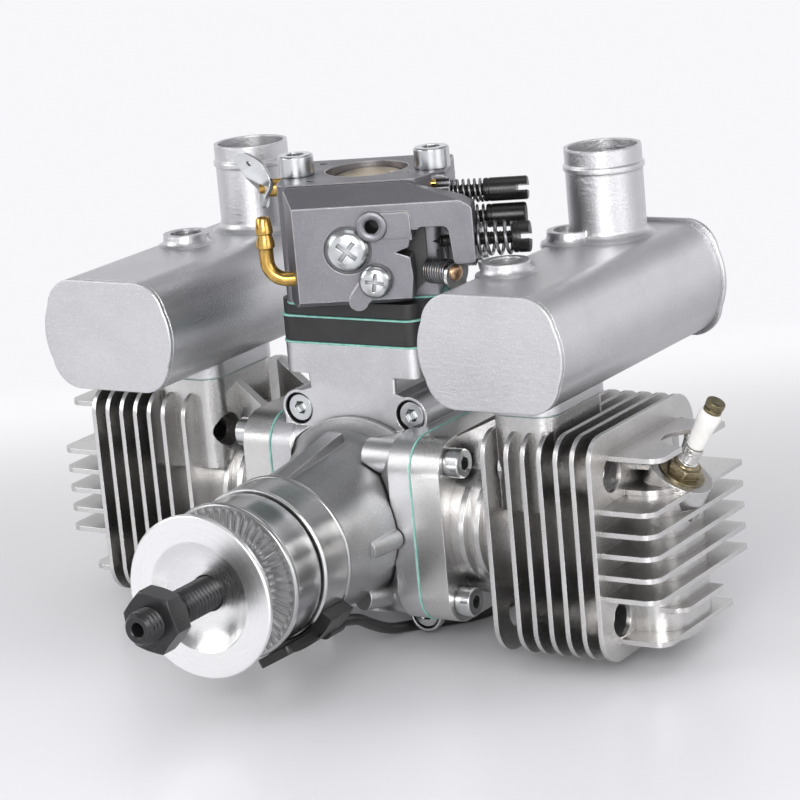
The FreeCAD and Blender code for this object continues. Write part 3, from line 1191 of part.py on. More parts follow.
def sensor_holder():
    # A band around the nose ring, with the sensing tongue reaching forward under the driver.
    ring = turned_y([(24.2, NOSE_RING_R + 0.02), (24.2, BAND_R), (33.4, BAND_R), (33.4, NOSE_RING_R + 0.02)])
    reach = 40.0
    a = math.radians(BAND_FROM)
    b = math.radians(BAND_TO)
    m = (a + b) / 2
    points = [V(0, 20.0, 0), V(reach * math.sin(a), 20.0, -reach * math.cos(a)),
              V(reach * 1.6 * math.sin(m), 20.0, -reach * 1.6 * math.cos(m)),
              V(reach * math.sin(b), 20.0, -reach * math.cos(b)), V(0, 20.0, 0)]
    sector = Part.Face(Part.makePolygon(points)).extrude(V(0, 20.0, 0))
    band = ring.common(sector)
    tongue = around_nose(slab("z", -20.8, -18.7, -5.2, 5.2, 12.8, 25.0, 1.6), TONGUE_ANGLE)
    foot = around_nose(slab("z", -BAND_R + 0.4, -SENSOR_PAD_R, -4.6, 4.6, 32.6, 46.0, 2.0), SENSOR_FOOT_ANGLE)
    gland = rod_y(LEAD_X, LEAD_Z, 2.1, 30.0, LEAD_START_Y)
    body = fuse([band, tongue, foot, gland])
    tools = [around_nose(rod(V(0, 41.0, -26.0), Z, 1.3, 9.0), SENSOR_FOOT_ANGLE)]
    tools.append(rod_y(0, 0, NOSE_RING_R + 0.02, 20.0, 33.59))
    return cut(body, tools)


def sensor_screws():
    screw = socket_screw(V(0, 41.0, -BAND_R + 0.4), V(0, 0, -1), 1.25, 6.8, 2.25, 1.6, 2.0)
    return around_nose(screw, SENSOR_FOOT_ANGLE)


# The lead's route: out of the gland, back under the case, then behind it into a coil on the table.

COIL_X = -20.0
COIL_Y = 150.0
COIL_R = 15.5
COIL_TURNS = 2.25
COIL_HEIGHT = (COIL_TURNS + 1.0) * 2 * LEAD_R
PLUG_X = -44.0
PLUG_Y = 164.0
PLUG_LENGTH = 14.0


def lead_points():
    low = LEAD_LOW_Z
    return [V(LEAD_X, LEAD_START_Y, LEAD_Z), V(LEAD_X, 43.0, LEAD_Z - 0.9), V(10.8, 51.0, -22.0),
            V(9.6, 60.5, -26.4), V(10.0, 68.6, low + 0.1), V(14.6, 73.8, low), V(21.0, 79.5, low),
            V(24.5, 91.0, low), V(22.5, 103.0, low), V(15.0, 114.0, low), V(5.0, 125.0, low),
            V(COIL_X + COIL_R + 0.6, 137.0, low), V(COIL_X + COIL_R, COIL_Y, low)]


def tail_points():
    top = LEAD_LOW_Z + COIL_TURNS * 2 * LEAD_R
    plug_z = TABLE_Z + 2.5
    return [V(COIL_X, COIL_Y + COIL_R, top), V(COIL_X - 8.0, COIL_Y + COIL_R - 0.1, top - 1.2),
            V(COIL_X - 16.0, COIL_Y + COIL_R - 0.8, plug_z + 1.4), V(PLUG_X, PLUG_Y, plug_z)]


def bend_reach(a, b, c):
    return 0.45 * min((b - a).Length, (c - b).Length)


def bend_radius(a, b, c):
    u = (b - a).normalize()
    w = (c - b).normalize()
    turn = u.getAngle(w)
    return bend_reach(a, b, c) / math.tan(turn / 2)


def tube_along(points, radius):
    edges = []
    last = points[0]
    for i in range(1, len(points) - 1):
        a = points[i - 1]
        b = points[i]
        c = points[i + 1]
        u = (b - a).normalize()
        w = (c - b).normalize()
        reach = bend_reach(a, b, c)
        p = b - u * reach
        q = b + w * reach
        r = bend_radius(a, b, c)
        inward = (w - u).normalize()
        half = u.getAngle(w) / 2
        centre = b + inward * (r / math.cos(half))
        mid = centre - inward * r
        edges.append(Part.makeLine(last, p))
        edges.append(Part.Arc(p, mid, q).toShape())
        last = q
    edges.append(Part.makeLine(last, points[-1]))
    wire = Part.Wire(edges)
    first = (points[1] - points[0]).normalize()
    circle = Part.Wire(Part.makeCircle(radius, points[0], first))
    return wire.makePipeShell([circle], True, True)


def cable_coil():
    # The spare length, wound as a ring of turns lying on the table.
    return turned_on(V(COIL_X, COIL_Y, TABLE_Z), Z,
                     [(0, COIL_R - LEAD_R), (0, COIL_R + LEAD_R), (COIL_HEIGHT, COIL_R + LEAD_R),
                      (COIL_HEIGHT, COIL_R - LEAD_R)])


def cable_plug():
    x1 = PLUG_X
    x0 = PLUG_X - PLUG_LENGTH
    body = slab("x", x0, x1, PLUG_Y - 4.0, PLUG_Y + 4.0, TABLE_Z, TABLE_Z + 5.0, 0.8)
    tools = []
    for k in range(3):
        y = PLUG_Y + 2.54 * (k - 1)
        tools.append(box(x0 - 1.0, x0 + 6.0, y - 0.65, y + 0.65, TABLE_Z + 1.85, TABLE_Z + 3.15))
    return cut(body, tools)


def main():
    save("crankcase", crankcase())
    save("nose_housing", nose_housing())
    save("rear_cover", rear_cover())
    save("case_screws", case_screws())
    save("main_bearings", main_bearings())
    save("shaft_seal", shaft_seal())
    save("crankshaft", crankshaft())
    save("prop_driver", prop_driver())
    save("sensor_magnet", sensor_magnet())
    save("prop_washer", prop_washer())
    save("prop_bolt", prop_bolt())
    save("prop_nut", prop_nut())
    for side in SIDES:
        save("cylinder_" + side, cylinder(side))
        save("piston_" + side, piston(side))
        save("piston_rings_" + side, piston_rings(side))
        save("conrod_" + side, conrod(side))
        save("rod_pins_" + side, rod_pins(side))
        save("muffler_shell_" + side, muffler_shell(side))
        save("muffler_caps_" + side, muffler_caps(side))
    save("case_gaskets", Part.makeCompound(base_gaskets().Solids + [rear_gasket()]))
    save("cylinder_screws", cylinder_screws())
    save("plug_shells", plug_shells())
    save("plug_insulators", plug_insulators())
    save("plug_terminals", plug_terminals())
    save("exhaust_gaskets", exhaust_gaskets())
    save("insulator_blocks", insulator_blocks())
    save("intake_gaskets", intake_gaskets())
    save("reed_block", reed_block())
    save("reed_petals", reed_petals())
    save("carb_body", carb_body())
    save("inlet_plug", inlet_plug())
    save("pump_cover", pump_cover())
    save("carb_gaskets", carb_gaskets())
    save("metering_cover", metering_cover())
    save("cover_screws", cover_screws())
    save("carb_screws", carb_screws())
    save("fuel_elbow", fuel_elbow())
    save("throttle_shaft", throttle_shaft())
    save("throttle_plate", throttle_plate())
    save("throttle_lever", throttle_lever())
    save("throttle_spring", throttle_spring())
    save("choke_shaft", choke_shaft())
    save("choke_plate", choke_plate())
    save("choke_lever", choke_lever())
    save("high_needle", high_needle())
    save("low_needle", low_needle())
    save("idle_screw", idle_screw())
    save("adjuster_springs", adjuster_springs())
    save("sensor_holder", sensor_holder())
    save("sensor_screws", sensor_screws())
    tubes = []
    for points in (lead_points(), tail_points()):
        tube = tube_along(points, LEAD_R)
        tubes.append(tube)
        for i in range(1, len(points) - 1):
            print("bend", i, round(bend_radius(points[i - 1], points[i], points[i + 1]), 1))
    save("sensor_cable", Part.makeCompound(tubes))
    save("cable_coil", cable_coil())
    save("cable_plug", cable_plug())


main()
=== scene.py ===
# %% [markdown]
# # A flat twin model-aircraft petrol engine
# The engine has two cylinders that lie opposite each other, a pumper carburettor on a plastic
# block above the crankcase, and a drum silencer over each cylinder. Its solids come from the
# CAD file, in metres, with +Z up and the propeller shaft along Y. This script gives each of
# them its finish, rounds its edges, and builds in mesh code what a machine would cut or wind
# more finely than a plain solid shows: threads, springs, knurls, turned faces and the lead.

from math import cos, pi, radians, sin
from random import Random

import bmesh
import bpy
from mathutils import Matrix, Vector


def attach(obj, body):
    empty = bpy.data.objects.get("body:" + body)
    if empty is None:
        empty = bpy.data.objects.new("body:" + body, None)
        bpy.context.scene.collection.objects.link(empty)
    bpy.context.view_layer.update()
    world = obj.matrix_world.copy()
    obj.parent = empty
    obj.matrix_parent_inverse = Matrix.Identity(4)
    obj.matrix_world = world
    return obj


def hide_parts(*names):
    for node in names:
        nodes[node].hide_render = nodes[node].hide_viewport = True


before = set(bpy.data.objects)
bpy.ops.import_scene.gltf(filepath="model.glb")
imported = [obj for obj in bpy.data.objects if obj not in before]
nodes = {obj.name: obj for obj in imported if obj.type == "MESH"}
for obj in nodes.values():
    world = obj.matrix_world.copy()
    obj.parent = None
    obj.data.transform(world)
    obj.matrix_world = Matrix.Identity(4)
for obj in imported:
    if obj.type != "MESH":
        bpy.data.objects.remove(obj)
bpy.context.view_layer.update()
MM = 0.001
FLOOR_Z = -29.6
scene = bpy.context.scene

# %% [markdown]
# ## The camera
# The photographer stood a little to the right of the propeller shaft and looked slightly down,
# with a long lens and the camera tilted by about five degrees. A long lens keeps the two
# cylinders nearly the same size, so the camera stands seven engine lengths away.

# %% Setting up the camera
AZIMUTH = radians(33.28)
ELEVATION = radians(14.38)
ROLL = radians(-5.17)
TARGET = Vector((32.81, 38.0, 37.34)) * MM
DISTANCE = 712.25 * MM
LENS = 144.0

level = Vector((cos(AZIMUTH), sin(AZIMUTH), 0))
toward = Vector((sin(AZIMUTH), -cos(AZIMUTH), 0))
back = toward * cos(ELEVATION) + Vector((0, 0, sin(ELEVATION)))
upright = back.cross(level)
right = cos(ROLL) * level + sin(ROLL) * upright
up = -sin(ROLL) * level + cos(ROLL) * upright
camera = bpy.data.objects.new("camera", bpy.data.cameras.new("camera"))
scene.collection.objects.link(camera)
turned_to = Matrix((right, up, back)).transposed().to_4x4()
camera.matrix_world = Matrix.Translation(TARGET + back * DISTANCE) @ turned_to
camera.data.lens = LENS
camera.data.sensor_width = 36
camera.data.clip_start = 0.01
camera.data.clip_end = 20
scene.camera = camera
scene.view_settings.view_transform = "Standard"
print("camera at", [round(c / MM, 1) for c in camera.location])

# %% [markdown]
# ## The sensor's lead
# The ignition sensor sits on the nose and its lead is a thin round rubber cable. It leaves the
# sensor's gland, dips under the case flange, and runs back along the table to its connector,
# with the spare length wound up behind the engine. A NURBS curve with a few control points
# gives a line without corners, as a real cable lies, and its bevel makes the round sheath.

# %% Laying the lead
LEAD_RADIUS = 1.35
LEAD_EXIT = (11.6, 36, -16.5)
LYING = FLOOR_Z + LEAD_RADIUS
LEAD_ROUTE = [
    LEAD_EXIT,
    (11.6, 43, -17.4),
    (10.8, 51, -22),
    (9.6, 60.5, -26.4),
    (10, 68.6, -28.15),
    (14.6, 73.8, LYING),
    (21, 79.5, LYING),
    (24.5, 91, LYING),
    (22.5, 103, LYING),
    (15, 114, LYING),
    (5, 125, LYING),
    (-3.9, 137, LYING),
    (-4.5, 150, LYING),
]
COIL_CENTRE = (-20, 150)
COIL_RADIUS = 15.5
COIL_TURNS = 2.25
COIL_RISE = 2.7
TURN_POINTS = 12
LEAD_TAIL = [
    (-20, 165.5, -22.175),
    (-28, 165.4, -23.375),
    (-36, 164.7, -25.7),
    (-44, 164, -27.1),
]


def coil_points():
    """The wound part of the lead, twelve points to a turn, rising one cable a turn."""
    points = []
    for step in range(1, round(COIL_TURNS * TURN_POINTS)):
        turn = 2 * pi * step / TURN_POINTS
        x = COIL_CENTRE[0] + COIL_RADIUS * cos(turn)
        y = COIL_CENTRE[1] + COIL_RADIUS * sin(turn)
        points.append((x, y, LYING + COIL_RISE * step / TURN_POINTS))
    return points


def smooth_curve(name, points, radius):
    """A NURBS curve through control points in millimetres, with a round section."""
    data = bpy.data.curves.new(name, "CURVE")
    data.dimensions = "3D"
    spline = data.splines.new("NURBS")
    spline.points.add(len(points) - 1)
    for point, place in zip(spline.points, points):
        point.co = (place[0] * MM, place[1] * MM, place[2] * MM, 1)
        point.radius = radius * MM
    spline.order_u = 3
    spline.use_endpoint_u = True
    spline.resolution_u = 8
    data.bevel_depth = 1.0
    data.bevel_resolution = 5
    data.use_fill_caps = True
    piece = bpy.data.objects.new(name, data)
    scene.collection.objects.link(piece)
    return piece


lead = smooth_curve("lead", LEAD_ROUTE + coil_points() + LEAD_TAIL, LEAD_RADIUS)
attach(lead, "engine")
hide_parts("sensor_cable", "cable_coil")
print("lead control points:", len(lead.data.splines[0].points))

# %% [markdown]
# ## Helpers for materials
# Every finish below is a node material. A few small helpers keep them readable: one adds a node
# and either sets its inputs or links them, and the others are the steps that come back in
# nearly every finish, such as arithmetic, noise and the mixing of two colours.


# %% Node helpers
def add(tree, kind, inputs=None, **settings):
    """Add a node; an input given as a socket is linked, and any other is set."""
    node = tree.nodes.new(kind)
    for name, entry in settings.items():
        setattr(node, name, entry)
    for name, entry in (inputs or {}).items():
        if isinstance(entry, bpy.types.NodeSocket):
            tree.links.new(entry, node.inputs[name])
        else:
            node.inputs[name].default_value = entry
    return node


def value(tree, operation, first, second=0.0, third=0.0):
    """One arithmetic step."""
    node = add(tree, "ShaderNodeMath", {0: first, 1: second, 2: third}, operation=operation)
    return node.outputs[0]


def ramp(tree, amount, low, high, out_low=0.0, out_high=1.0):
    """A smooth step from one value to another as the amount goes from low to high."""
    limits = {"From Min": low, "From Max": high, "To Min": out_low, "To Max": out_high}
    node = add(
        tree, "ShaderNodeMapRange", {"Value": amount, **limits}, interpolation_type="SMOOTHSTEP"
    )
    return node.outputs["Result"]


def blend_colours(tree, amount, first, second):
    """Mix two colours; a plain tuple is a constant colour."""
    node = add(tree, "ShaderNodeMix", data_type="RGBA")
    for index, entry in ((0, amount), (6, first), (7, second)):
        if isinstance(entry, bpy.types.NodeSocket):
            tree.links.new(entry, node.inputs[index])
        elif isinstance(entry, tuple):
            node.inputs[index].default_value = (*entry, 1)
        else:
            node.inputs[index].default_value = entry
    return node.outputs[2]


def tint(tree, colour, mask, share, tone):
    """Lay a share of a tone over a colour where a mask is 1."""
    return blend_colours(tree, value(tree, "MULTIPLY", mask, share), colour, tone)


def grey(level):
    return (level, level, level)


def noise(tree, inputs, **settings):
    """The value of a noise."""
    return add(tree, "ShaderNodeTexNoise", inputs, **settings).outputs["Fac"]


def object_place(tree):
    """Where on the piece a point is, in metres."""
    return tree.nodes.new("ShaderNodeTexCoord").outputs["Object"]


def split(tree, vector):
    """The X, Y and Z of a vector."""
    return add(tree, "ShaderNodeSeparateXYZ", {0: vector}).outputs


def along(tree, vector, direction):
    """How far a vector reaches along a direction."""
    entries = {0: vector, 1: direction}
    return add(tree, "ShaderNodeVectorMath", entries, operation="DOT_PRODUCT").outputs["Value"]


def new_group(name, inputs, outputs):
    """An empty shader group with named inputs (with default values) and outputs."""
    group = bpy.data.node_groups.new(name, "ShaderNodeTree")
    for label, default in inputs.items():
        socket = group.interface.new_socket(label, in_out="INPUT", socket_type=FLOAT)
        socket.default_value = default
    for label, kind in outputs.items():
        group.interface.new_socket(label, in_out="OUTPUT", socket_type=kind)
    entry = group.nodes.new("NodeGroupInput").outputs
    return group, entry, group.nodes.new("NodeGroupOutput").inputs


def place(tree, group, **inputs):
    """Put a group into a material and set its inputs."""
    node = tree.nodes.new("ShaderNodeGroup")
    node.node_tree = group
    for name, entry in inputs.items():
        node.inputs[name].default_value = entry
    return node.outputs


FLOAT = "NodeSocketFloat"
VECTOR = "NodeSocketVector"
print("helpers ready")

# %% [markdown]
# ## Shared effects
# ** Blasted grain.** The castings were shot with fine beads, so their skin glitters: thousands
# of tiny dents, each facing its own way, over soft patches where the metal froze differently.
# Two noises of different sizes make it: the fine one is the dents and the glints, the coarse
# one is the patches. The castings paint the glints into their colour as pale spots, a painted
# highlight; other finishes use the same spots as pale specks of their own.

# %% The blasted grain
grain_group, entry, out = new_group(
    "blasted grain",
    {"Grain": 2600.0, "Patch": 60.0},
    {"Height": FLOAT, "Glint and speck": FLOAT, "Patches": FLOAT},
)
tree = grain_group
where = object_place(tree)
dents = noise(
    tree, {"Vector": where, "Scale": entry["Grain"], "Detail": 2.0, "Roughness": 0.65}
)
bead_scale = value(tree, "MULTIPLY", entry["Grain"], 0.55)
beads = add(tree, "ShaderNodeTexVoronoi", {"Vector": where, "Scale": bead_scale})
patches = noise(
    tree, {"Vector": where, "Scale": entry["Patch"], "Detail": 4.0, "Roughness": 0.6}
)
bead_height = value(tree, "MULTIPLY", beads.outputs["Distance"], 0.3)
tree.links.new(value(tree, "MULTIPLY_ADD", dents, 0.7, bead_height), out["Height"])
tree.links.new(ramp(tree, dents, 0.52, 0.72), out["Glint and speck"])
tree.links.new(ramp(tree, patches, 0.3, 0.7), out["Patches"])
print(tree.name, len(tree.nodes), "nodes")

# %% [markdown]
# ** Worn and highlit edges.** Tumbling and handling polish the corners of metal parts, and edges
# catch the light; the finishes paint their edges paler, partly as that wear and partly as a
# painted highlight. The Bevel node gives the normal that a rounded corner would have. Where it
# differs from the real normal, there is an edge.

# %% The worn edges
wear_and_highlight_group, entry, out = new_group(
    "worn and highlit edges", {"Width": 0.0003, "Strength": 6.0}, {"Edge": FLOAT, "Normal": VECTOR}
)
tree = wear_and_highlight_group
corner_normal = add(tree, "ShaderNodeBevel", {"Radius": entry["Width"]}, samples=4).outputs[0]
plain_normal = tree.nodes.new("ShaderNodeNewGeometry").outputs["Normal"]
turned_away = value(tree, "SUBTRACT", 1.0, along(tree, corner_normal, plain_normal))
strength = value(tree, "MULTIPLY", turned_away, entry["Strength"])
tree.links.new(ramp(tree, strength, 0.02, 0.9), out["Edge"])
tree.links.new(corner_normal, out["Normal"])
print(tree.name, len(tree.nodes), "nodes")

# %% [markdown]
# ** Painted corner shade.** Shade is painted into the colour where little light reaches: in the
# corners, round the screw heads and deep between the fins. The Ambient Occlusion node measures
# how closed in a point is, and the finishes darken their colour by it, a painted shade.

# %% The shaded corners
painted_shade_group, entry, out = new_group("painted corner shade", {"Reach": 0.004}, {"Shade": FLOAT})
tree = painted_shade_group
openness = add(tree, "ShaderNodeAmbientOcclusion", {"Distance": entry["Reach"]}, samples=6)
tree.links.new(ramp(tree, openness.outputs["AO"], 0.15, 0.95, 1.0, 0.0), out["Shade"])
print(tree.name, len(tree.nodes), "nodes")

# %% [markdown]
# ** Turned rings.** A lathe tool leaves fine rings round the axis of the part. A noise that
# only knows the distance from the axis makes rings, since every point of a ring gets the same
# value. The axis of all the turned faces here is the propeller shaft, along Y. Fine rings also
# spread a reflection across themselves, so a turned drum shows bright and dark streaks along
# its axis: a soft noise of the angle round the axis paints the dark ones into the colour, a
# painted reflection.

# %% The turned rings
ring_group, entry, out = new_group(
    "turned rings", {"Pitch": 9000.0}, {"Height": FLOAT, "Tone": FLOAT, "Painted streak": FLOAT}
)
tree = ring_group
parts_of = split(tree, object_place(tree))
across, above = parts_of["X"], parts_of["Z"]
above_squared = value(tree, "MULTIPLY", above, above)
radius = value(tree, "SQRT", value(tree, "MULTIPLY_ADD", across, across, above_squared))
both = value(tree, "ADD", radius, parts_of["Y"])
fine_place = value(tree, "MULTIPLY", both, entry["Pitch"])
fine = noise(tree, {"W": fine_place, "Scale": 1.0, "Detail": 2.0}, noise_dimensions="1D")
broad_place = value(tree, "MULTIPLY", both, 700.0)
broad = noise(tree, {"W": broad_place, "Scale": 1.0, "Detail": 1.0}, noise_dimensions="1D")
tone = value(tree, "MULTIPLY_ADD", broad, 0.6, value(tree, "MULTIPLY", fine, 0.4))
angle_round = value(tree, "ARCTAN2", across, above)
streak = noise(
    tree,
    {"W": angle_round, "Scale": 1.9, "Detail": 2.0, "Roughness": 0.55},
    noise_dimensions="1D",
)
tree.links.new(fine, out["Height"])
tree.links.new(tone, out["Tone"])
tree.links.new(ramp(tree, streak, 0.32, 0.68), out["Painted streak"])
print(tree.name, len(tree.nodes), "nodes")

# %% [markdown]
# ## The finishes
# Each finish starts from the Principled shader. What is the same all over the surface is set on
# its own socket. Colour, roughness and the surface's normal come from the effects above.

# %% Starting a finish
finishes = {}


def start_finish(name, metallic, roughness):
    """A new material, with its tree and its Principled shader."""
    material = bpy.data.materials.new(name)
    material.use_nodes = True
    tree = material.node_tree
    shader = tree.nodes["Principled BSDF"]
    shader.inputs["Metallic"].default_value = metallic
    shader.inputs["Roughness"].default_value = roughness
    finishes[name] = material
    return tree, shader


def link_up(tree, shader, colour, roughness=None, normal=None):
    """Link what changes over the surface."""
    for label, socket in (("Base Color", colour), ("Roughness", roughness), ("Normal", normal)):
        if socket is not None:
            tree.links.new(socket, shader.inputs[label])


def bump(tree, height, strength, distance, normal=None):
    """Raise the surface by a height; the distance is in millimetres."""
    entries = {"Height": height, "Strength": strength, "Distance": distance * MM}
    if normal is not None:
        entries["Normal"] = normal
    return add(tree, "ShaderNodeBump", entries).outputs[0]


def facing_along(tree, low=0.2, high=0.5):
    """1 on faces that look along the shaft, 0 on faces that run round it."""
    normal = tree.nodes.new("ShaderNodeNewGeometry").outputs["True Normal"]
    return ramp(tree, value(tree, "ABSOLUTE", split(tree, normal)["Y"]), low, high)


print("ready for finishes")

# %% [markdown]
# **Cast and blasted aluminium.** Crankcase, cylinders and silencers are castings with the same
# beaded skin, in lighter and darker greys and with finer or coarser grain. One function makes
# them all: soft patches, painted glints, bright worn edges with a painted highlight, and painted
# shade in the corners. The silencers' flat end caps also have a slight ripple from the drawing of
# their sheet.


# %% The blasted castings
def blasted(
    name, dark, light, roughness, grain, depth, edge_width, corner, reach=4.0, sparks=0.4, peel=0.0
):
    """A casting's skin; edge width and reach are in millimetres."""
    tree, shader = start_finish(name, 1.0, roughness)
    skin = place(tree, grain_group, Grain=grain, Patch=55.0)
    edge = place(tree, wear_and_highlight_group, Width=edge_width * MM, Strength=7.0)
    closed = place(tree, painted_shade_group, Reach=reach * MM)["Shade"]
    colour = blend_colours(tree, skin["Patches"], dark, light)
    # painted glints on the grain, pale edges that are partly wear and partly a painted highlight,
    # and painted shade in the corners
    colour = tint(tree, colour, skin["Glint and speck"], sparks, grey(0.9))
    colour = tint(tree, colour, edge["Edge"], 0.8, grey(0.93))
    colour = tint(tree, colour, closed, corner, (0.16, 0.152, 0.145))
    rough = value(tree, "ADD", value(tree, "MULTIPLY", edge["Edge"], -0.14), roughness)
    rough = value(tree, "MULTIPLY_ADD", skin["Glint and speck"], -0.1, rough)
    normal = bump(tree, skin["Height"], depth, 0.12, edge["Normal"])
    if peel:
        entries = {0: object_place(tree), 1: (0.35, 0.35, 1.0)}
        stretched = add(tree, "ShaderNodeVectorMath", entries, operation="MULTIPLY").outputs[0]
        ripple = noise(tree, {"Vector": stretched, "Scale": 1300.0, "Detail": 2.0})
        on_caps = value(tree, "MULTIPLY", ripple, facing_along(tree, 0.97, 0.995))
        normal = bump(tree, on_caps, peel, 0.35, normal)
    link_up(tree, shader, colour, rough, normal)


blasted("case casting", (0.56, 0.56, 0.57), (0.68, 0.68, 0.69), 0.37, 3300, 0.5, 0.4, 0.6)
cylinder_tones = ((0.6, 0.59, 0.58), (0.7, 0.69, 0.68))
blasted("cylinder casting", *cylinder_tones, 0.32, 3000, 0.25, 0.22, 0.5, 7.0, 0.12)
silencer_tones = ((0.62, 0.62, 0.635), (0.68, 0.68, 0.695))
blasted("silencer casting", *silencer_tones, 0.37, 3000, 0.8, 0.55, 0.4, peel=0.3)
print("castings:", list(finishes))

# %% [markdown]
# ** Turned aluminium.** The propeller driver, the sensor's ring and the big washer come off a
# lathe. They are the same bright metal with fine rings; the washer is polished afterwards. On the
# plain turned aluminium, faces that look along the shaft are painted darker, a painted shade, and
# the round sides get painted dark reflection streaks. All get pale painted highlights on their
# edges and painted shade in their corners.


# %% The turned faces
def turned(
    name, tone_low, tone_high, roughness, depth, pitch=9000.0, corner=0.4, painted_streaks=0.0, face=0.0
):
    tree, shader = start_finish(name, 1.0, roughness)
    rings = place(tree, ring_group, Pitch=pitch)
    edge = place(tree, wear_and_highlight_group, Width=0.2 * MM, Strength=6.0)
    closed = place(tree, painted_shade_group, Reach=2.5 * MM)["Shade"]
    colour = blend_colours(tree, rings["Tone"], grey(tone_low), grey(tone_high))
    on_face = facing_along(tree)
    # painted shade: faces that look along the shaft are darkened
    colour = tint(tree, colour, on_face, face, grey(0.3))
    round_side = value(tree, "SUBTRACT", 1.0, on_face)
    # painted reflection: dark streaks along the round sides
    painted_dark_streak = value(tree, "MULTIPLY", value(tree, "SUBTRACT", 1.0, rings["Painted streak"]), painted_streaks)
    painted_dark_streak = value(tree, "MULTIPLY", painted_dark_streak, round_side)
    colour = blend_colours(tree, painted_dark_streak, colour, (0.24, 0.245, 0.26))
    # pale edges, partly wear and partly a painted highlight; painted shade in the corners
    colour = tint(tree, colour, edge["Edge"], 0.7, grey(0.92))
    colour = tint(tree, colour, closed, corner, grey(0.1))
    rough = value(tree, "MULTIPLY_ADD", rings["Tone"], 0.06, roughness - 0.03)
    normal = bump(tree, rings["Height"], depth, 0.02, edge["Normal"])
    link_up(tree, shader, colour, rough, normal)


turned("turned aluminium", 0.76, 0.82, 0.25, 0.04, 5200.0, painted_streaks=0.7, face=0.7)
turned("polished washer", 0.88, 0.91, 0.27, 0.04, 6000.0, 0.2)
turned("plain steel", 0.5, 0.62, 0.28, 0.2)
print("turned finishes ready")

# %% [markdown]
# ** The nose.** It's one casting with two skins: the front 10 mm is turned to a smooth ring for
# the sensor's band, and the cone behind is as cast. The place along the shaft picks the skin. The
# turned ring gets painted dark reflection streaks and a near-white painted highlight just in front
# of the lip; the cast cone gets painted glints; edges get a pale painted highlight and corners a
# painted shade.

# %% The half-turned nose
TURNED_TO = 33.45
CAST_FROM = 33.75
LIP_FROM = 32.7
LIP_FULL = 33.2
tree, shader = start_finish("nose casting", 1.0, 0.4)
rings = place(tree, ring_group, Pitch=9000.0)
skin = place(tree, grain_group, Grain=2300.0, Patch=55.0)
edge = place(tree, wear_and_highlight_group, Width=0.35 * MM, Strength=7.0)
closed = place(tree, painted_shade_group, Reach=4.0 * MM)["Shade"]
depth_along = split(tree, object_place(tree))["Y"]
cast = ramp(tree, depth_along, TURNED_TO * MM, CAST_FROM * MM)
not_cast = value(tree, "SUBTRACT", 1.0, cast)
lip_highlight = value(tree, "MULTIPLY", ramp(tree, depth_along, LIP_FROM * MM, LIP_FULL * MM), not_cast)
machined = blend_colours(tree, rings["Tone"], grey(0.78), grey(0.84))
# painted reflection: dark streaks along the turned ring
painted_streak_shade = value(tree, "SUBTRACT", 1.0, rings["Painted streak"])
machined = tint(tree, machined, painted_streak_shade, 0.42, (0.3, 0.305, 0.31))
# painted highlight: a near-white band just in front of the lip
machined = blend_colours(tree, lip_highlight, machined, grey(0.96))
blasted_skin = blend_colours(tree, skin["Patches"], (0.42, 0.42, 0.425), (0.51, 0.51, 0.52))
# painted glints on the cast cone
blasted_skin = tint(tree, blasted_skin, skin["Glint and speck"], 0.3, grey(0.92))
colour = blend_colours(tree, cast, machined, blasted_skin)
# pale edges, partly wear and partly a painted highlight; painted shade in the corners
colour = tint(tree, colour, edge["Edge"], 0.75, grey(0.92))
colour = tint(tree, colour, closed, 0.6, (0.14, 0.135, 0.13))
rough = value(tree, "MULTIPLY_ADD", cast, 0.13, 0.27)
cast_grain = value(tree, "MULTIPLY", skin["Height"], cast)
ring_grain = value(
    tree, "MULTIPLY", rings["Height"], value(tree, "MULTIPLY", not_cast, 0.2)
)
normal = bump(tree, value(tree, "ADD", cast_grain, ring_grain), 0.5, 0.1, edge["Normal"])
link_up(tree, shader, colour, rough, normal)
print("nose ready")

# %% [markdown]
# ## The other finishes
# The rest share one recipe. A skin has two tones in patches, and over them may come sparks,
# pale edges that are partly worn and partly a painted highlight, and painted shade in the
# corners. Each is given as what it needs: sparks a share and a tone; an edge its width in
# millimetres, strength, share and tone; a corner its reach in millimetres, share and tone.
# Roughness may change with the patches, as a slope and a base.


# %% The shared recipe
def skinned(name, metallic, roughness, tones, grain, patch, relief, clouds=None, **over):
    """A skin; what lies over it is given as sparks, edge and corner."""
    tree, shader = start_finish(name, metallic, roughness)
    skin = place(tree, grain_group, Grain=grain, Patch=patch)
    colour = blend_colours(tree, skin["Patches"], *tones)
    rough = normal = None
    if "sparks" in over:
        colour = tint(tree, colour, skin["Glint and speck"], *over["sparks"])
    if "edge" in over:
        width, strength, share, tone = over["edge"]
        edge = place(tree, wear_and_highlight_group, Width=width * MM, Strength=strength)
        # pale edges, partly wear and partly a painted highlight
        colour = tint(tree, colour, edge["Edge"], share, tone)
        normal = edge["Normal"]
    if "corner" in over:
        reach, share, tone = over["corner"]
        closed = place(tree, painted_shade_group, Reach=reach * MM)["Shade"]
        # painted shade in the corners
        colour = tint(tree, colour, closed, share, tone)
    if clouds:
        rough = value(tree, "MULTIPLY_ADD", skin["Patches"], *clouds)
    normal = bump(tree, skin[over.get("height", "Height")], *relief, normal)
    link_up(tree, shader, colour, rough, normal)


print("recipe ready")

# %% [markdown]
# ** Zinc plate, black oxide and gasket sheet.** The socket screws and the throttle plates are
# zinc plated: bright, a little blue, slightly cloudy, with pale painted highlights on their edges
# and painted shade darkening the wells where the key goes in. The propeller bolt and its nut are
# blackened steel with a film of oil; their edges are painted paler, partly as metal showing
# through and partly as a painted highlight. The gaskets are teal-green pressed fibre, matt, with
# pale specks.

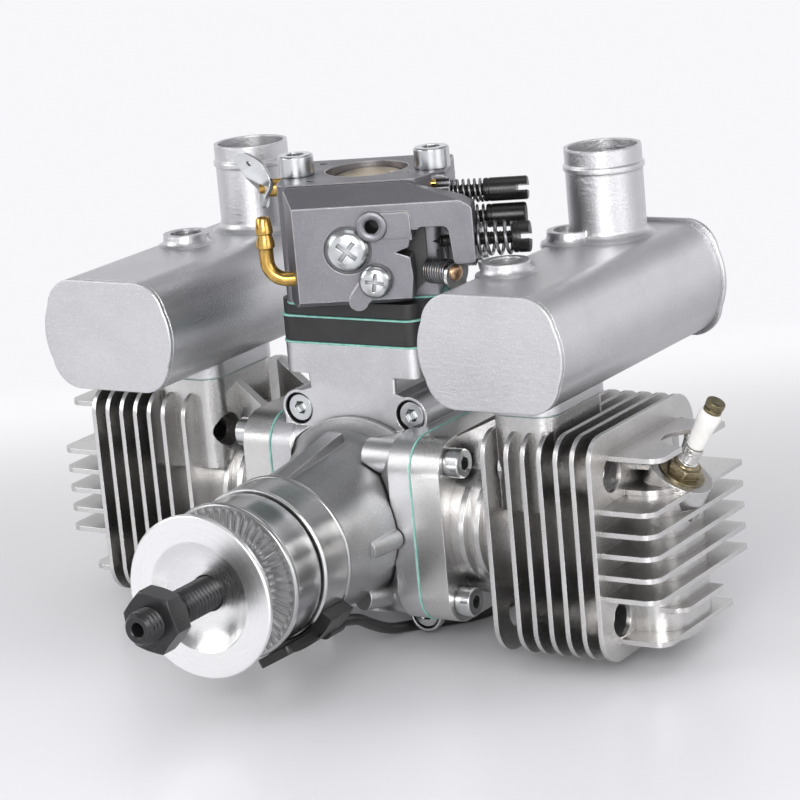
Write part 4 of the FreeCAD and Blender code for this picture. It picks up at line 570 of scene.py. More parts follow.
# %% Plate, oxide and fibre
for name, edge_width in (("zinc plate", 0.18), ("zinc dome", 0.25)):
    skinned(
        name, 1.0, 0.24, ((0.56, 0.575, 0.585), (0.66, 0.675, 0.68)), 2600.0, 170.0, (0.015, 0.03),
        (0.05, 0.2),
        edge=(edge_width, 6.0, 0.7, grey(0.92)),
        corner=(2.2, 0.85, (0.03, 0.03, 0.032)),
    )
skinned(
    "black oxide", 0.5, 0.3, ((0.03, 0.03, 0.031), (0.04, 0.04, 0.042)), 2400.0, 120.0,
    (0.05, 0.04),
    (0.05, 0.27),
    edge=(0.15, 5.0, 0.4, (0.26, 0.26, 0.27)),
)
skinned(
    "gasket sheet", 0.0, 0.6, ((0.16, 0.44, 0.37), (0.3, 0.6, 0.52)), 1800.0, 500.0, (0.4, 0.06),
    sparks=(0.4, (0.5, 0.7, 0.62)),
)
print("plate, oxide and fibre ready")

# %% [markdown]
# ** Black plastics.** The insulator blocks are moulded phenolic, dark grey with a dull shine,
# paler edges that are a painted highlight, and painted shade in the corners. The sensor's holder
# is plain nylon. The adjusters' caps are glossy.


# %% The black plastics
def moulded(name, dark, light, roughness, grain, depth):
    skinned(
        name, 0.0, roughness, (grey(dark), grey(light)), grain, 160.0, (depth, 0.04),
        (0.12, roughness - 0.06),
        edge=(0.25, 5.0, 0.5, grey(light * 2.6)),
        corner=(2.5, 0.5, grey(0.004)),
    )


moulded("phenolic block", 0.018, 0.028, 0.44, 1500, 0.3)
moulded("sensor nylon", 0.008, 0.014, 0.38, 1200, 0.25)
moulded("glossy cap", 0.006, 0.009, 0.3, 1700, 0.04)
moulded("lead rubber", 0.01, 0.018, 0.45, 1400, 0.15)
moulded("carbon sheet", 0.02, 0.05, 0.35, 900, 0.2)
moulded("dark diaphragm", 0.05, 0.07, 0.5, 1500, 0.2)
print("plastics ready")

# %% [markdown]
# ** The carburettor's die casting and the ceramic.** The casting was tumbled, not blasted: a
# smoother violet-grey skin with cloudy tones, corners rubbed bright and painted brighter as a
# highlight, and painted shade in the hollows. The plugs' ceramic is glazed white, a little uneven
# where the glaze ran, with painted shade in its corners.

# %% The tumbled casting and the ceramic
skinned(
    "carburettor casting", 1.0, 0.38, ((0.2, 0.195, 0.213), (0.235, 0.23, 0.248)), 2600.0, 110.0,
    (0.35, 0.08),
    (0.12, 0.34),
    sparks=(0.12, grey(0.6)),
    edge=(0.5, 9.0, 0.8, grey(0.85)),
    corner=(3.0, 0.7, (0.06, 0.06, 0.063)),
)
skinned(
    "glazed ceramic", 0.0, 0.14, ((0.8, 0.79, 0.75), (0.9, 0.89, 0.86)), 500.0, 200.0, (0.05, 0.05),
    corner=(1.5, 0.35, (0.4, 0.37, 0.32)),
    height="Patches",
)
print("casting and ceramic ready")

# %% [markdown]
# **Brass, plug steel, nickel and spring wire.** Small parts, each with its own colour: turned
# brass for the elbow and shafts, olive plated steel round the plugs, bright nickel on their
# necks, and dark hard-drawn wire for the springs.


# %% The small parts' metals
def small_metal(name, dark, light, roughness, edge_tone, corner=0.6):
    skinned(
        name, 1.0, roughness, (dark, light), 1600.0, 380.0, (0.15, 0.04),
        (0.14, roughness - 0.07),
        edge=(0.15, 6.0, 0.6, edge_tone),
        corner=(1.8, corner, tuple(0.12 * c for c in dark)),
    )


small_metal("turned brass", (0.5, 0.3, 0.075), (0.64, 0.42, 0.13), 0.22, (0.95, 0.76, 0.38))
small_metal("pale brass", (0.9, 0.78, 0.6), (0.95, 0.85, 0.68), 0.4, (0.97, 0.92, 0.8), 0.3)
small_metal("plug steel", (0.22, 0.18, 0.11), (0.34, 0.29, 0.19), 0.3, (0.75, 0.68, 0.5))
small_metal("terminal steel", (0.14, 0.12, 0.07), (0.3, 0.26, 0.16), 0.3, (0.6, 0.55, 0.4))
small_metal("copper stud", (0.78, 0.5, 0.3), (0.88, 0.62, 0.4), 0.32, (0.95, 0.8, 0.6), 0.25)
small_metal("spring wire", (0.24, 0.24, 0.245), (0.4, 0.4, 0.41), 0.27, (0.66, 0.66, 0.68))
small_metal("bright nickel", (0.62, 0.61, 0.59), (0.8, 0.79, 0.77), 0.2, (0.95, 0.95, 0.94))
print("finishes:", len(finishes))

# %% [markdown]
# ## Rounding the solids' edges
# A real casting has no knife edges: the mould leaves a small radius and the blasting rounds
# the machined ones. A Bevel modifier cuts such a radius on each solid without touching its
# mesh. The solid comes as triangles, so a Weld joins their corners and a planar Decimate turns
# flat faces back into single polygons, which bevel cleanly. A small node tree then shades
# smooth wherever two faces meet at less than 35 degrees.

# %% Smooth shading by angle
def shading_group(degrees):
    """A node tree that shades smooth except where faces meet at more than an angle."""
    group = bpy.data.node_groups.new(f"smooth below {degrees}", "GeometryNodeTree")
    group.interface.new_socket("Mesh", in_out="INPUT", socket_type="NodeSocketGeometry")
    group.interface.new_socket("Mesh", in_out="OUTPUT", socket_type="NodeSocketGeometry")
    mesh_in = group.nodes.new("NodeGroupInput").outputs[0]
    angle = group.nodes.new("GeometryNodeInputMeshEdgeAngle").outputs["Unsigned Angle"]
    sharp = add(
        group, "FunctionNodeCompare", {"A": angle, "B": radians(degrees)}, operation="GREATER_THAN"
    ).outputs["Result"]
    kind = "GeometryNodeSetShadeSmooth"
    smooth = add(group, kind, {"Geometry": mesh_in, "Shade Smooth": True}, domain="FACE")
    entries = {"Geometry": smooth.outputs[0], "Selection": sharp, "Shade Smooth": False}
    creased = add(group, kind, entries, domain="EDGE")
    group.links.new(creased.outputs[0], group.nodes.new("NodeGroupOutput").inputs[0])
    return group


crisp = shading_group(35)
soft = shading_group(70)


def shade(piece, group=crisp):
    """Smooth shading with creases kept."""
    piece.modifiers.new("smooth by angle", "NODES").node_group = group


def round_edges(piece, width):
    """Weld, merge flat faces, round the edges by a width in millimetres, and shade.

    A width of 0 rounds nothing, and None only welds and shades.
    """
    weld = piece.modifiers.new("weld", "WELD")
    weld.merge_threshold = 0.002 * MM
    if width is None:
        shade(piece)
        return
    flat = piece.modifiers.new("flat faces", "DECIMATE")
    flat.decimate_type = "DISSOLVE"
    flat.angle_limit = radians(0.6)
    if width:
        cut = piece.modifiers.new("rounded edges", "BEVEL")
        cut.width = width * MM
        cut.segments = 2
        cut.limit_method = "ANGLE"
        cut.angle_limit = radians(32)
        cut.use_clamp_overlap = True
        cut.miter_outer = "MITER_ARC"
    shade(piece)
    piece.modifiers.new("even normals", "WEIGHTED_NORMAL").keep_sharp = True


print("edge tools ready")

# %% [markdown]
# ## Which solid gets which finish
# One table says what each solid is made of and how round its edges are, in millimetres.

# %% Dressing the solids
DRESS = {
    "case casting": (0.35, "crankcase rear_cover"),
    "nose casting": (0.35, "nose_housing"),
    "cylinder casting": (0.25, "cylinder_right cylinder_left"),
    "silencer casting": (
        0.4, "muffler_shell_right muffler_shell_left muffler_caps_right muffler_caps_left"
    ),
    "turned aluminium": (0.15, "reed_block piston_right piston_left conrod_right conrod_left"),
    "polished washer": (0.2, "prop_washer"),
    "plain steel": (
        0.0,
        "main_bearings crankshaft piston_rings_right piston_rings_left"
        " rod_pins_right rod_pins_left throttle_shaft",
    ),
    "zinc plate": (0.15, "case_screws cylinder_screws carb_screws sensor_screws throttle_lever"),
    "zinc dome": (None, "cover_screws"),
    "black oxide": (0.15, "prop_nut"),
    "gasket sheet": (0.0, "case_gaskets exhaust_gaskets intake_gaskets"),
    "dark diaphragm": (0.0, "carb_gaskets"),
    "phenolic block": (0.3, "insulator_blocks"),
    "sensor nylon": (0.3, "sensor_holder cable_plug"),
    "lead rubber": (0.0, "shaft_seal"),
    "carbon sheet": (0.0, "reed_petals"),
    "carburettor casting": (0.3, "carb_body metering_cover"),
    "turned brass": (0.12, "throttle_plate choke_shaft inlet_plug"),
    "pale brass": (0.1, "choke_plate"),
    "glazed ceramic": (0.15, "plug_insulators"),
    "terminal steel": (0.12, "plug_terminals"),
    "bright nickel": (0.0, "sensor_magnet"),
}


def dress(piece, finish):
    """Every material slot of the piece gets the one finish."""
    slots = piece.material_slots
    if not len(slots):
        piece.data.materials.append(finishes[finish])
    for slot in slots:
        slot.link = "OBJECT"
        slot.material = finishes[finish]


dressed = set()
for finish, (width, names) in DRESS.items():
    for name in names.split():
        round_edges(nodes[name], width)
        dress(nodes[name], finish)
        dressed.add(name)
dress(lead, "lead rubber")
print("solids still to be made in mesh code:", sorted(set(nodes) - dressed))

# %% [markdown]
# ## Turned and threaded pieces
# A machine cuts these finer than a plain solid shows. Each is built ring by ring round its
# axis, in millimetres, from the front end to the back end. A shape function may move each
# point of a ring, which gives threads, knurls and grip marks as real geometry.


# %% Building round an axis
def axes_for(axis):
    """The axis and two directions across it, in right-handed order."""
    axis = Vector(axis).normalized()
    side = Vector((0, 0, 1)) if abs(axis.z) < 0.9 else Vector((1, 0, 0))
    first = (side - axis * side.dot(axis)).normalized()
    return axis, first, axis.cross(first)


def join_rings(rings, closed_ends=True):
    """Vertices and faces of a skin through rings with the same number of points."""
    count = len(rings[0])
    points = [point for ring in rings for point in ring]
    faces = []
    for row in range(len(rings) - 1):
        for i in range(count):
            j = (i + 1) % count
            a = row * count
            b = a + count
            faces.append((a + i, a + j, b + j, b + i))
    if closed_ends:
        faces.append(tuple(reversed(range(count))))
        faces.append(tuple(range((len(rings) - 1) * count, len(rings) * count)))
    return points, faces


def piece_from(name, skins, body, finish, slot_name, stands_for=(), shading=crisp):
    """One object from several skins; it rides on a body and gets its finish."""
    mesh = bpy.data.meshes.new(name)
    points = []
    faces = []
    for more_points, more_faces in skins:
        start = len(points)
        points += [Vector(point) * MM for point in more_points]
        faces += [tuple(start + i for i in face) for face in more_faces]
    mesh.from_pydata(points, [], faces)
    mesh.validate()
    form = bmesh.new()
    form.from_mesh(mesh)
    bmesh.ops.remove_doubles(form, verts=form.verts, dist=0.0008 * MM)
    bmesh.ops.recalc_face_normals(form, faces=form.faces)
    form.to_mesh(mesh)
    form.free()
    piece = bpy.data.objects.new(name, mesh)
    scene.collection.objects.link(piece)
    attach(piece, body)
    if stands_for:
        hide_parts(*stands_for)
    dress(piece, finish)
    shade(piece, shading)
    return piece


def lathe(start, axis, profile, count=96, shape=None, closed_ends=True):
    """A skin round an axis. The profile is a list of (distance along the axis, radius)."""
    start = Vector(start)
    axis, first, second = axes_for(axis)
    rings = []
    for along, radius in profile:
        ring = []
        for i in range(count):
            turn = i / count
            place_along, out = (along, radius) if shape is None else shape(along, radius, turn)
            spoke = first * cos(2 * pi * turn) + second * sin(2 * pi * turn)
            ring.append(start + axis * place_along + spoke * out)
        rings.append(ring)
    return join_rings(rings, closed_ends)


def lathe_ring(start, axis, profile, count, shape=None):
    """A skin whose profile closes on itself, such as a ring or a sleeve."""
    return lathe(start, axis, profile + profile[:1], count, shape, closed_ends=False)


def thread_cut(phase):
    """How deep a thread is cut, 0 on its crest and 1 at its root, for a phase of 0 to 1."""
    from_root = abs(phase % 1.0 - 0.5) * 2
    return min(1.0, max(0.0, (0.86 - from_root) / 0.62))


def steps_between(low, high, step):
    """Evenly spaced values with both ends."""
    count = max(1, round((high - low) / step))
    return [low + (high - low) * i / count for i in range(count + 1)]


SHAFT = ((0, 0, 0), (0, 1, 0))
print("lathe ready")

# %% [markdown]
# **The propeller bolt.** An M8 stud with a 1.25 mm thread, cut down to a cone at its tip, and
# with a blind hole for a spinner's screw. The thread is a real helix: the radius of each point
# depends on how far round and how far along it is. Behind the washer it's plain.

# %% The propeller bolt
BOLT_PITCH = 1.25
BOLT_CREST = 3.98
BOLT_DEPTH = 0.66
BOLT_TIP = -23.1
BOLT_END = 39.0
BOLT_THREAD_END = 12.0
TIP_RADIUS = 3.0
HOLE_DEPTH = 11.0
HOLE_RADIUS = 1.62


def bolt_thread(along, radius, turn):
    """A helix under a 45 degree cone at the tip; it runs out towards the plain shank."""
    cone = TIP_RADIUS + max(0.0, along - BOLT_TIP)
    fade = min(1.0, max(0.0, (BOLT_THREAD_END - along) / 1.2))
    cut = BOLT_DEPTH * thread_cut(along / BOLT_PITCH - turn) * fade
    return along, min(cone, radius - cut)


rows = [(y, BOLT_CREST) for y in steps_between(BOLT_TIP, BOLT_THREAD_END, BOLT_PITCH / 9)]
rows += [(20.0, BOLT_CREST), (BOLT_END - 0.1, BOLT_CREST)]
rear_rows = [(BOLT_END - 0.1, BOLT_CREST), (BOLT_END, 0.05)]
hole_rows = [(BOLT_TIP + HOLE_DEPTH, 0.05), (BOLT_TIP + HOLE_DEPTH, HOLE_RADIUS)]
hole_rows += [(BOLT_TIP + 0.25, HOLE_RADIUS), (BOLT_TIP, 1.9), (BOLT_TIP, TIP_RADIUS)]
bolt_skins = [lathe(*SHAFT, rows, 72, bolt_thread, closed_ends=False)]
bolt_skins += [lathe(*SHAFT, part, 72, closed_ends=False) for part in (rear_rows, hole_rows)]
prop_bolt = piece_from(
    "prop_bolt_thread", bolt_skins, "crank", "black oxide", "black_steel", ["prop_bolt"]
)
print("bolt faces:", len(prop_bolt.data.polygons))

# %% [markdown]
# **The propeller driver.** Its front face grips the propeller with 48 rounded scallops, pressed
# rather than cut, so no two are quite the same. They stop short of a plain bright rim. The
# skirt behind it is turned and slightly conical.

# %% The propeller driver
GRIPS = 48
grip_random = Random(17)
grip_depth = [0.42 + 0.1 * grip_random.random() for _ in range(GRIPS)]
grip_shift = [0.1 * (grip_random.random() - 0.5) for _ in range(GRIPS)]
GRIPS_FROM = 11.3
GRIPS_TO = 17.4
DRIVER_FACE = 11.4
DRIVER_BACK = 23.2
DRIVER_BORE = 6.06


def grips(along, radius, turn):
    """Press the scallops into the front face; each has its own depth and place."""
    if along > DRIVER_FACE + 0.02 or not GRIPS_FROM < radius < GRIPS_TO:
        return along, radius
    near = turn * GRIPS
    index = int(near) % GRIPS
    phase = near - int(near) + grip_shift[index]
    dent = max(0.0, 0.5 - 0.5 * cos(2 * pi * phase)) ** 0.6
    inner = min(1.0, max(0.0, radius - GRIPS_FROM))
    outer = min(1.0, max(0.0, (GRIPS_TO - 0.05 - radius) / 0.9))
    return along + grip_depth[index] * dent * inner * outer, radius


face_rows = [(DRIVER_FACE, r) for r in steps_between(11.2, 17.5, 0.45)]
driver_rows = (
    [(6.0, DRIVER_BORE), (6.0, 9.8), (6.2, 10.0), (11.2, 10.35), (DRIVER_FACE, 10.6)]
    + face_rows
    + [(DRIVER_FACE, 17.9), (11.5, 18.1), (11.75, 18.3), (12.0, 18.4), (12.7, 18.4)]
    + [(12.95, 18.32)]
    + [(13.2, 18.05), (13.5, 18.0), (16.0, 17.88), (19.0, 17.72), (22.4, 17.54), (22.9, 17.4)]
    + [(23.15, 17.1), (DRIVER_BACK, 16.9), (DRIVER_BACK, DRIVER_BORE)]
)
prop_driver = piece_from(
    "prop_driver_turned",
    [lathe_ring(*SHAFT, driver_rows, GRIPS * 10, grips)],
    "crank",
    "turned aluminium",
    "machined_aluminium",
    ["prop_driver"],
    soft,
)
print("driver faces:", len(prop_driver.data.polygons))

# %% [markdown]
# **The sensor ring's lip.** The turned front of the nose ends in a fine raised lip, where the
# tool stopped against the cast skin. It's a closed ring of its own.

# %% The lip
LIP = [(32.85, 18.1), (33.0, 18.4), (33.3, 18.6), (33.6, 18.6), (33.85, 18.4), (34.0, 18.1)]
lip_ring = piece_from(
    "nose_lip", [lathe_ring(*SHAFT, LIP, 160)], "engine", "turned aluminium", "cast_aluminium"
)
print("lip faces:", len(lip_ring.data.polygons))

# %% [markdown]
# ## The carburettor's springs and adjusters
# The carburettor is turned by 24 degrees, so its own axes are used here: u to its right, v to
# its back and z up. Each adjuster is a threaded needle with a slotted cap, and a steel spring
# under the cap keeps it from turning by itself.

# %% The carburettor's own axes
CARB_TURN = radians(24)
CARB_MIDDLE = 81.5
CARB_RIGHT = Vector((cos(CARB_TURN), sin(CARB_TURN), 0))
CARB_BACK = Vector((-sin(CARB_TURN), cos(CARB_TURN), 0))


def on_carb(u, v, z):
    """A point given in the carburettor's own axes."""
    return CARB_RIGHT * u + CARB_BACK * v + Vector((0, CARB_MIDDLE, z))


def coil_spring(start, axis, radius, wire, length, turns, dead=0.6, sides=10, per_turn=28):
    """A wound spring; its first and last turns lie closed, as they do on the real one."""
    start = Vector(start)
    axis, first, second = axes_for(axis)
    steps = round(turns * per_turn)
    free = turns - 2 * dead
    rise = (length - wire - 2 * dead * wire) / free
    rings = []
    for step in range(steps + 1):
        turn = step / per_turn
        if turn < dead:
            along = turn * wire
        elif turn < turns - dead:
            along = dead * wire + (turn - dead) * rise
        else:
            along = dead * wire + free * rise + (turn - turns + dead) * wire
        spoke = first * cos(2 * pi * turn) + second * sin(2 * pi * turn)
        centre = start + axis * (along + wire / 2) + spoke * (radius - wire / 2)
        ring = []
        for k in range(sides):
            round_wire = 2 * pi * k / sides
            out, on = wire / 2 * cos(round_wire), wire / 2 * sin(round_wire)
            ring.append(centre + spoke * out + axis * on)
        rings.append(ring)
    return join_rings(rings)


print("carburettor axes ready")

# %% [markdown]
# **The springs.** Four springs sit on the carburettor. Each place is given as v and z, and each
# spring as its outer radius, wire, length and turns in millimetres. The end turns lie closed.

# %% The adjusters' springs
HIGH_NEEDLE = (-2.6, 74.0)
LOW_NEEDLE = (-3.7, 68.0)
IDLE_SCREW = (-14.6, 64.9)
THROTTLE_SHAFT = (4.0, 57.6)
springs = [
    coil_spring(on_carb(21.0, *HIGH_NEEDLE), CARB_RIGHT, 2.9, 0.62, 7.3, 5.6),
    coil_spring(on_carb(21.0, *LOW_NEEDLE), CARB_RIGHT, 2.9, 0.62, 7.7, 5.6),
    coil_spring(on_carb(27.5, *IDLE_SCREW), CARB_RIGHT, 4.15, 0.85, 8.3, 3.9, dead=0.45),
]
throttle_coil = coil_spring(
    on_carb(20.85, *THROTTLE_SHAFT), CARB_RIGHT, 3.0, 0.55, 3.9, 5.2, dead=1.0
)
WIRE = ("engine", "spring wire", "spring_steel")
piece_from("adjuster_spring_coils", springs, *WIRE, ["adjuster_springs"])
piece_from("throttle_spring_coil", [throttle_coil], *WIRE, ["throttle_spring"])
print("springs wound:", len(springs) + 1)

# %% [markdown]
# **Needles and caps.** A threaded stem with a fine 0.7 mm pitch, a pointed tip inside the
# casting, and a glossy cap with a screwdriver slot across its end. The slot is cut with a
# Boolean against a thin block, and then the block goes.


# %% The three adjusters
def subtract(piece, block):
    """Cut a block's shape out of a piece for good; the block then goes."""
    step = piece.modifiers.new("cut", "BOOLEAN")
    step.operation = "DIFFERENCE"
    step.object = block
    step.solver = "EXACT"
    bpy.context.view_layer.update()
    evaluated = piece.evaluated_get(bpy.context.evaluated_depsgraph_get())
    result = bpy.data.meshes.new_from_object(evaluated)
    piece.modifiers.clear()
    old = piece.data
    name = old.name
    piece.data = result
    bpy.data.meshes.remove(old)
    result.name = name
    used = block.data
    bpy.data.objects.remove(block)
    bpy.data.meshes.remove(used)


def carve(piece, low, high, centre, axis, angle):
    """Cut a block out of a piece; the block is given across its centre and turned."""
    direction, first, second = axes_for(axis)
    form = bmesh.new()
    turned_first = first * cos(angle) + second * sin(angle)
    turned_second = direction.cross(turned_first)
    for a in (low[0], high[0]):
        for b in (low[1], high[1]):
            for c in (low[2], high[2]):
                place_at = centre + direction * a + turned_second * b + turned_first * c
                form.verts.new(place_at * MM)
    bmesh.ops.convex_hull(form, input=form.verts)
    mesh = bpy.data.meshes.new("slot block")
    form.to_mesh(mesh)
    form.free()
    block = bpy.data.objects.new("slot_block", mesh)
    scene.collection.objects.link(block)
    subtract(piece, block)


def adjuster(name, place_at, tip, thread_from, cap_from, cap_to, grip, slot_angle, body, old):
    """One adjuster along the carburettor's right axis, all lengths in millimetres."""

    def fine_thread(along, radius, turn):
        if not thread_from <= along <= cap_from - 0.2 or radius > 1.7:
            return along, radius
        return along, radius - STEM_DEPTH * thread_cut(along / STEM_PITCH - turn)

    rows = [(tip, 0.05), (tip + 2.4, 1.1), (tip + 3.0, 1.58), (thread_from, 1.58)]
    rows += [(u, 1.6) for u in steps_between(thread_from + 0.05, cap_from - 0.1, 0.1)]
    rows += [(cap_from, 1.6), (cap_from, grip - 0.25), (cap_from + 0.1, grip - 0.05)]
    rows += [(cap_from + 0.4, grip), (cap_from + 0.9, grip), (cap_from + 1.0, grip - 0.12)]
    rows += [(cap_from + 1.3, grip - 0.12), (cap_from + 1.4, grip), (cap_to - 0.5, grip)]
    rows += [(cap_to - 0.2, grip - 0.1), (cap_to - 0.03, grip - 0.35)]
    rows += [(cap_to, grip - 0.6), (cap_to, 0.05)]
    skin = lathe(on_carb(0, *place_at), CARB_RIGHT, rows, 48, fine_thread)
    piece = piece_from(name, [skin], body, "glossy cap", "cap_black", [old])
    end = on_carb(cap_to, *place_at)
    carve(piece, SLOT_LOW, SLOT_HIGH, end, CARB_RIGHT, slot_angle)
    dress(piece, "glossy cap")
    shade(piece)
    return piece


STEM_PITCH = 0.7
STEM_DEPTH = 0.22
SLOT_LOW = (-2.7, -0.65, -9)
SLOT_HIGH = (3.0, 0.65, 9)
ADJUSTERS = {
    "high_needle": (HIGH_NEEDLE, 17.4, 20.9, 28.4, 38.8, 2.8, radians(76), "high_mixture_needle"),
    "low_needle": (LOW_NEEDLE, 15.0, 20.9, 28.8, 38.1, 2.8, radians(10), "low_mixture_needle"),
    "idle_screw": (IDLE_SCREW, 17.0, 18.6, 35.9, 39.9, 3.7, radians(76), "idle_stop"),
}
for name, sizes in ADJUSTERS.items():
    piece = adjuster(f"{name}_cap", *sizes, name)
    print(piece.name, len(piece.data.polygons), "faces")

# %% [markdown]
# ## Plates and cut-outs
# Levers are stamped from sheet: an outline with its holes, given a thickness and then bent.
# The outline is filled with triangles, copied for the back, and joined by a wall round every
# edge. A bend function then puts each point in place.

# %% Stamping a plate
def round_hole(across, up, radius, count=20):
    """The points of a hole in a plate."""
    return [
        (across + radius * cos(2 * pi * i / count), up + radius * sin(2 * pi * i / count))
        for i in range(count)
    ]


def rounded(corners, reach=0.3, steps=4):
    """An outline with each corner rounded; reach is the share of the shorter side it takes."""
    points = []
    for i, corner in enumerate(corners):
        here = Vector(corner)
        before = Vector(corners[i - 1])
        after = Vector(corners[(i + 1) % len(corners)])
        size = reach * min((before - here).length, (after - here).length)
        start = here + (before - here).normalized() * size
        end = here + (after - here).normalized() * size
        for k in range(steps + 1):
            t = k / steps
            points.append(tuple(start * (1 - t) ** 2 + here * 2 * t * (1 - t) + end * t**2))
    return points


def plate(loops, thick, bend):
    """A skin for a plate; the first loop is its outline and the others are its holes."""
    form = bmesh.new()
    for loop in loops:
        corners = [form.verts.new((a, b, 0)) for a, b in loop]
        for i, corner in enumerate(corners):
            form.edges.new((corners[i - 1], corner))
    bmesh.ops.triangle_fill(form, use_beauty=True, use_dissolve=False, edges=form.edges)
    form.verts.index_update()
    flat = [(v.co.x, v.co.y) for v in form.verts]
    fills = [tuple(v.index for v in face.verts) for face in form.faces]
    rim = [edge for edge in form.edges if len(edge.link_faces) == 1]
    walls = [tuple(v.index for v in edge.verts) for edge in rim]
    form.free()
    count = len(flat)
    points = [bend(a, b, 0) for a, b in flat] + [bend(a, b, thick) for a, b in flat]
    faces = fills + [tuple(count + i for i in reversed(face)) for face in fills]
    faces += [(a, b, count + b, count + a) for a, b in walls]
    return points, faces


print("plates ready")

# %% [markdown]
# **The choke lever.** A zinc-plated stamping on the end of the brass choke shaft. Its upper end
# is twisted to face forward, so that a control rod can hook into its hole.

# %% The choke lever
CHOKE_Z = 76.3
BORE_V = 4.0


def choke_bend(across, up_by, deep):
    """Widen the blank, twist it over 6 mm and lean it outward."""
    across = across * 1.4
    twist = radians(62) * min(1.0, max(0.0, (up_by + 3.5) / 6.0))
    lean = 0.42 * max(0.0, up_by)
    out = across * sin(twist) + deep * cos(twist) + lean
    along = across * cos(twist) - deep * sin(twist)
    return on_carb(-24.6 - out, BORE_V + along, CHOKE_Z + up_by)


LEVER = [(-1.6, -4.6), (1.6, -4.6), (2.7, -1.5), (2.7, 3.0), (3.4, 7.2), (0.6, 9.2)]
LEVER += [(-2.4, 7.0), (-2.6, 1.0)]
lever_loops = [rounded(LEVER, 0.35), round_hole(0.3, 6.2, 0.6), round_hole(0, 0, 1.0)]
lever_skin = plate(lever_loops, 1.0, choke_bend)
choke_lever_bent = piece_from(
    "choke_lever_bent", [lever_skin], "choke", "zinc plate", "zinc_steel", ["choke_lever"]
)
print("choke lever faces:", len(choke_lever_bent.data.polygons))

# %% [markdown]
# **The pump cover's corner.** The front cover ends short of the throttle's notch: its lower
# right part is cast away in a curve with a small pointed step. The solid's own shape is copied
# and a block of that outline is taken out of it.

# %% Cutting the cover
def cut_out(piece, outline, from_v, to_v):
    """Take a prism out of a piece; the outline is in the carburettor's u and z."""

    def stand(a, b, deep):
        return on_carb(a, from_v + deep, b)

    points, faces = plate([outline], to_v - from_v, stand)
    mesh = bpy.data.meshes.new("cutting block")
    mesh.from_pydata([point * MM for point in points], [], faces)
    form = bmesh.new()
    form.from_mesh(mesh)
    bmesh.ops.recalc_face_normals(form, faces=form.faces)
    form.to_mesh(mesh)
    form.free()
    block = bpy.data.objects.new("cutting_block", mesh)
    scene.collection.objects.link(block)
    subtract(piece, block)


cover_mesh = nodes["pump_cover"].data.copy()
cover_mesh.name = "pump_cover_cast"
cover_mesh.transform(nodes["pump_cover"].matrix_world)
cover = bpy.data.objects.new("pump_cover_cast", cover_mesh)
scene.collection.objects.link(cover)
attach(cover, "engine")
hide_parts("pump_cover")
CUT_CORNER = [(11.6, 50.5), (18.5, 50.5), (18.5, 66.6), (12.4, 66.6), (12.0, 65.0)]
CUT_CORNER += [(8.9, 63.9), (12.2, 62.6), (12.6, 58.0)]
cut_out(cover, CUT_CORNER, -21.5, -12.9)
dress(cover, "carburettor casting")
round_edges(cover, 0.3)
EYELET = [(7.2, 1.72), (7.2, 3.6), (8.2, 3.6), (8.55, 3.35), (8.7, 2.9), (8.65, 2.3)]
EYELET += [(8.4, 1.8), (8.0, 1.7)]
eyelet_skin = lathe_ring(on_carb(4.0, -12.8, 70.4), -CARB_BACK, EYELET, 64)
eyelet = piece_from(
    "cover_eyelet", [eyelet_skin], "engine", "carburettor casting", "carb_casting"
)
print("cover faces:", len(cover.data.polygons), "eyelet faces:", len(eyelet.data.polygons))

# %% [markdown]
# **The return spring and its stud.** Under the cover's hanging arm sits a close-wound spring
# between the casting and a zinc plate, held by a brass stud with a rounded end.

# %% The return spring
STUD_TURN = radians(36)
stud = on_carb(15.4, -12.9, 57.9)
stud_axis = CARB_RIGHT * cos(STUD_TURN) - CARB_BACK * sin(STUD_TURN)
stud_side = CARB_RIGHT * sin(STUD_TURN) + CARB_BACK * cos(STUD_TURN)
coil_skin = coil_spring(stud + stud_axis * 0.4, stud_axis, 3.1, 0.5, 6.9, 8.6)
piece_from("return_spring_coil", [coil_skin], *WIRE)


def stand_up(across, up_by, deep):
    return stud + stud_axis * (7.6 + deep) + stud_side * across + Vector((0, 0, up_by))


STUD_PLATE = [(-2.6, 2.2), (-3.6, -1.4), (-1.4, -4.6), (1.8, -4.8), (4.2, -1.0), (4.4, 2.2)]
plate_skin = plate([rounded(STUD_PLATE, 0.4)], 0.9, stand_up)
piece_from("stud_plate", [plate_skin], "engine", "bright nickel", "zinc_steel")
STUD = [(0.1, 0.05), (0.1, 1.5), (8.4, 1.5), (8.52, 1.9), (8.9, 1.85), (9.2, 1.5)]
STUD += [(9.35, 1.0), (9.4, 0.05)]
stud_skin = lathe(stud, stud_axis, STUD, 40)
piece_from("brass_stud", [stud_skin], "engine", "copper stud", "brass_parts")
print("return spring ready")

# %% [markdown]
# **The fuel elbow.** A brass tube pressed into the cover's left side, bent up, with a two-step
# barb for the fuel line and an open end. The skin follows the tube's middle line with a radius
# that changes along it, then turns in at the mouth and runs a little way down the bore.

# %% The fuel elbow
def sweep(stations, count=40):
    """A skin along a line in one plane; each station is (middle, direction, radius)."""
    rings = []
    for middle, direction, radius in stations:
        side = direction.cross(CARB_BACK).normalized()
        ring = []
        for i in range(count):
            turn = 2 * pi * i / count
            ring.append(middle + (side * cos(turn) + CARB_BACK * sin(turn)) * radius)
        rings.append(ring)
    return join_rings(rings)


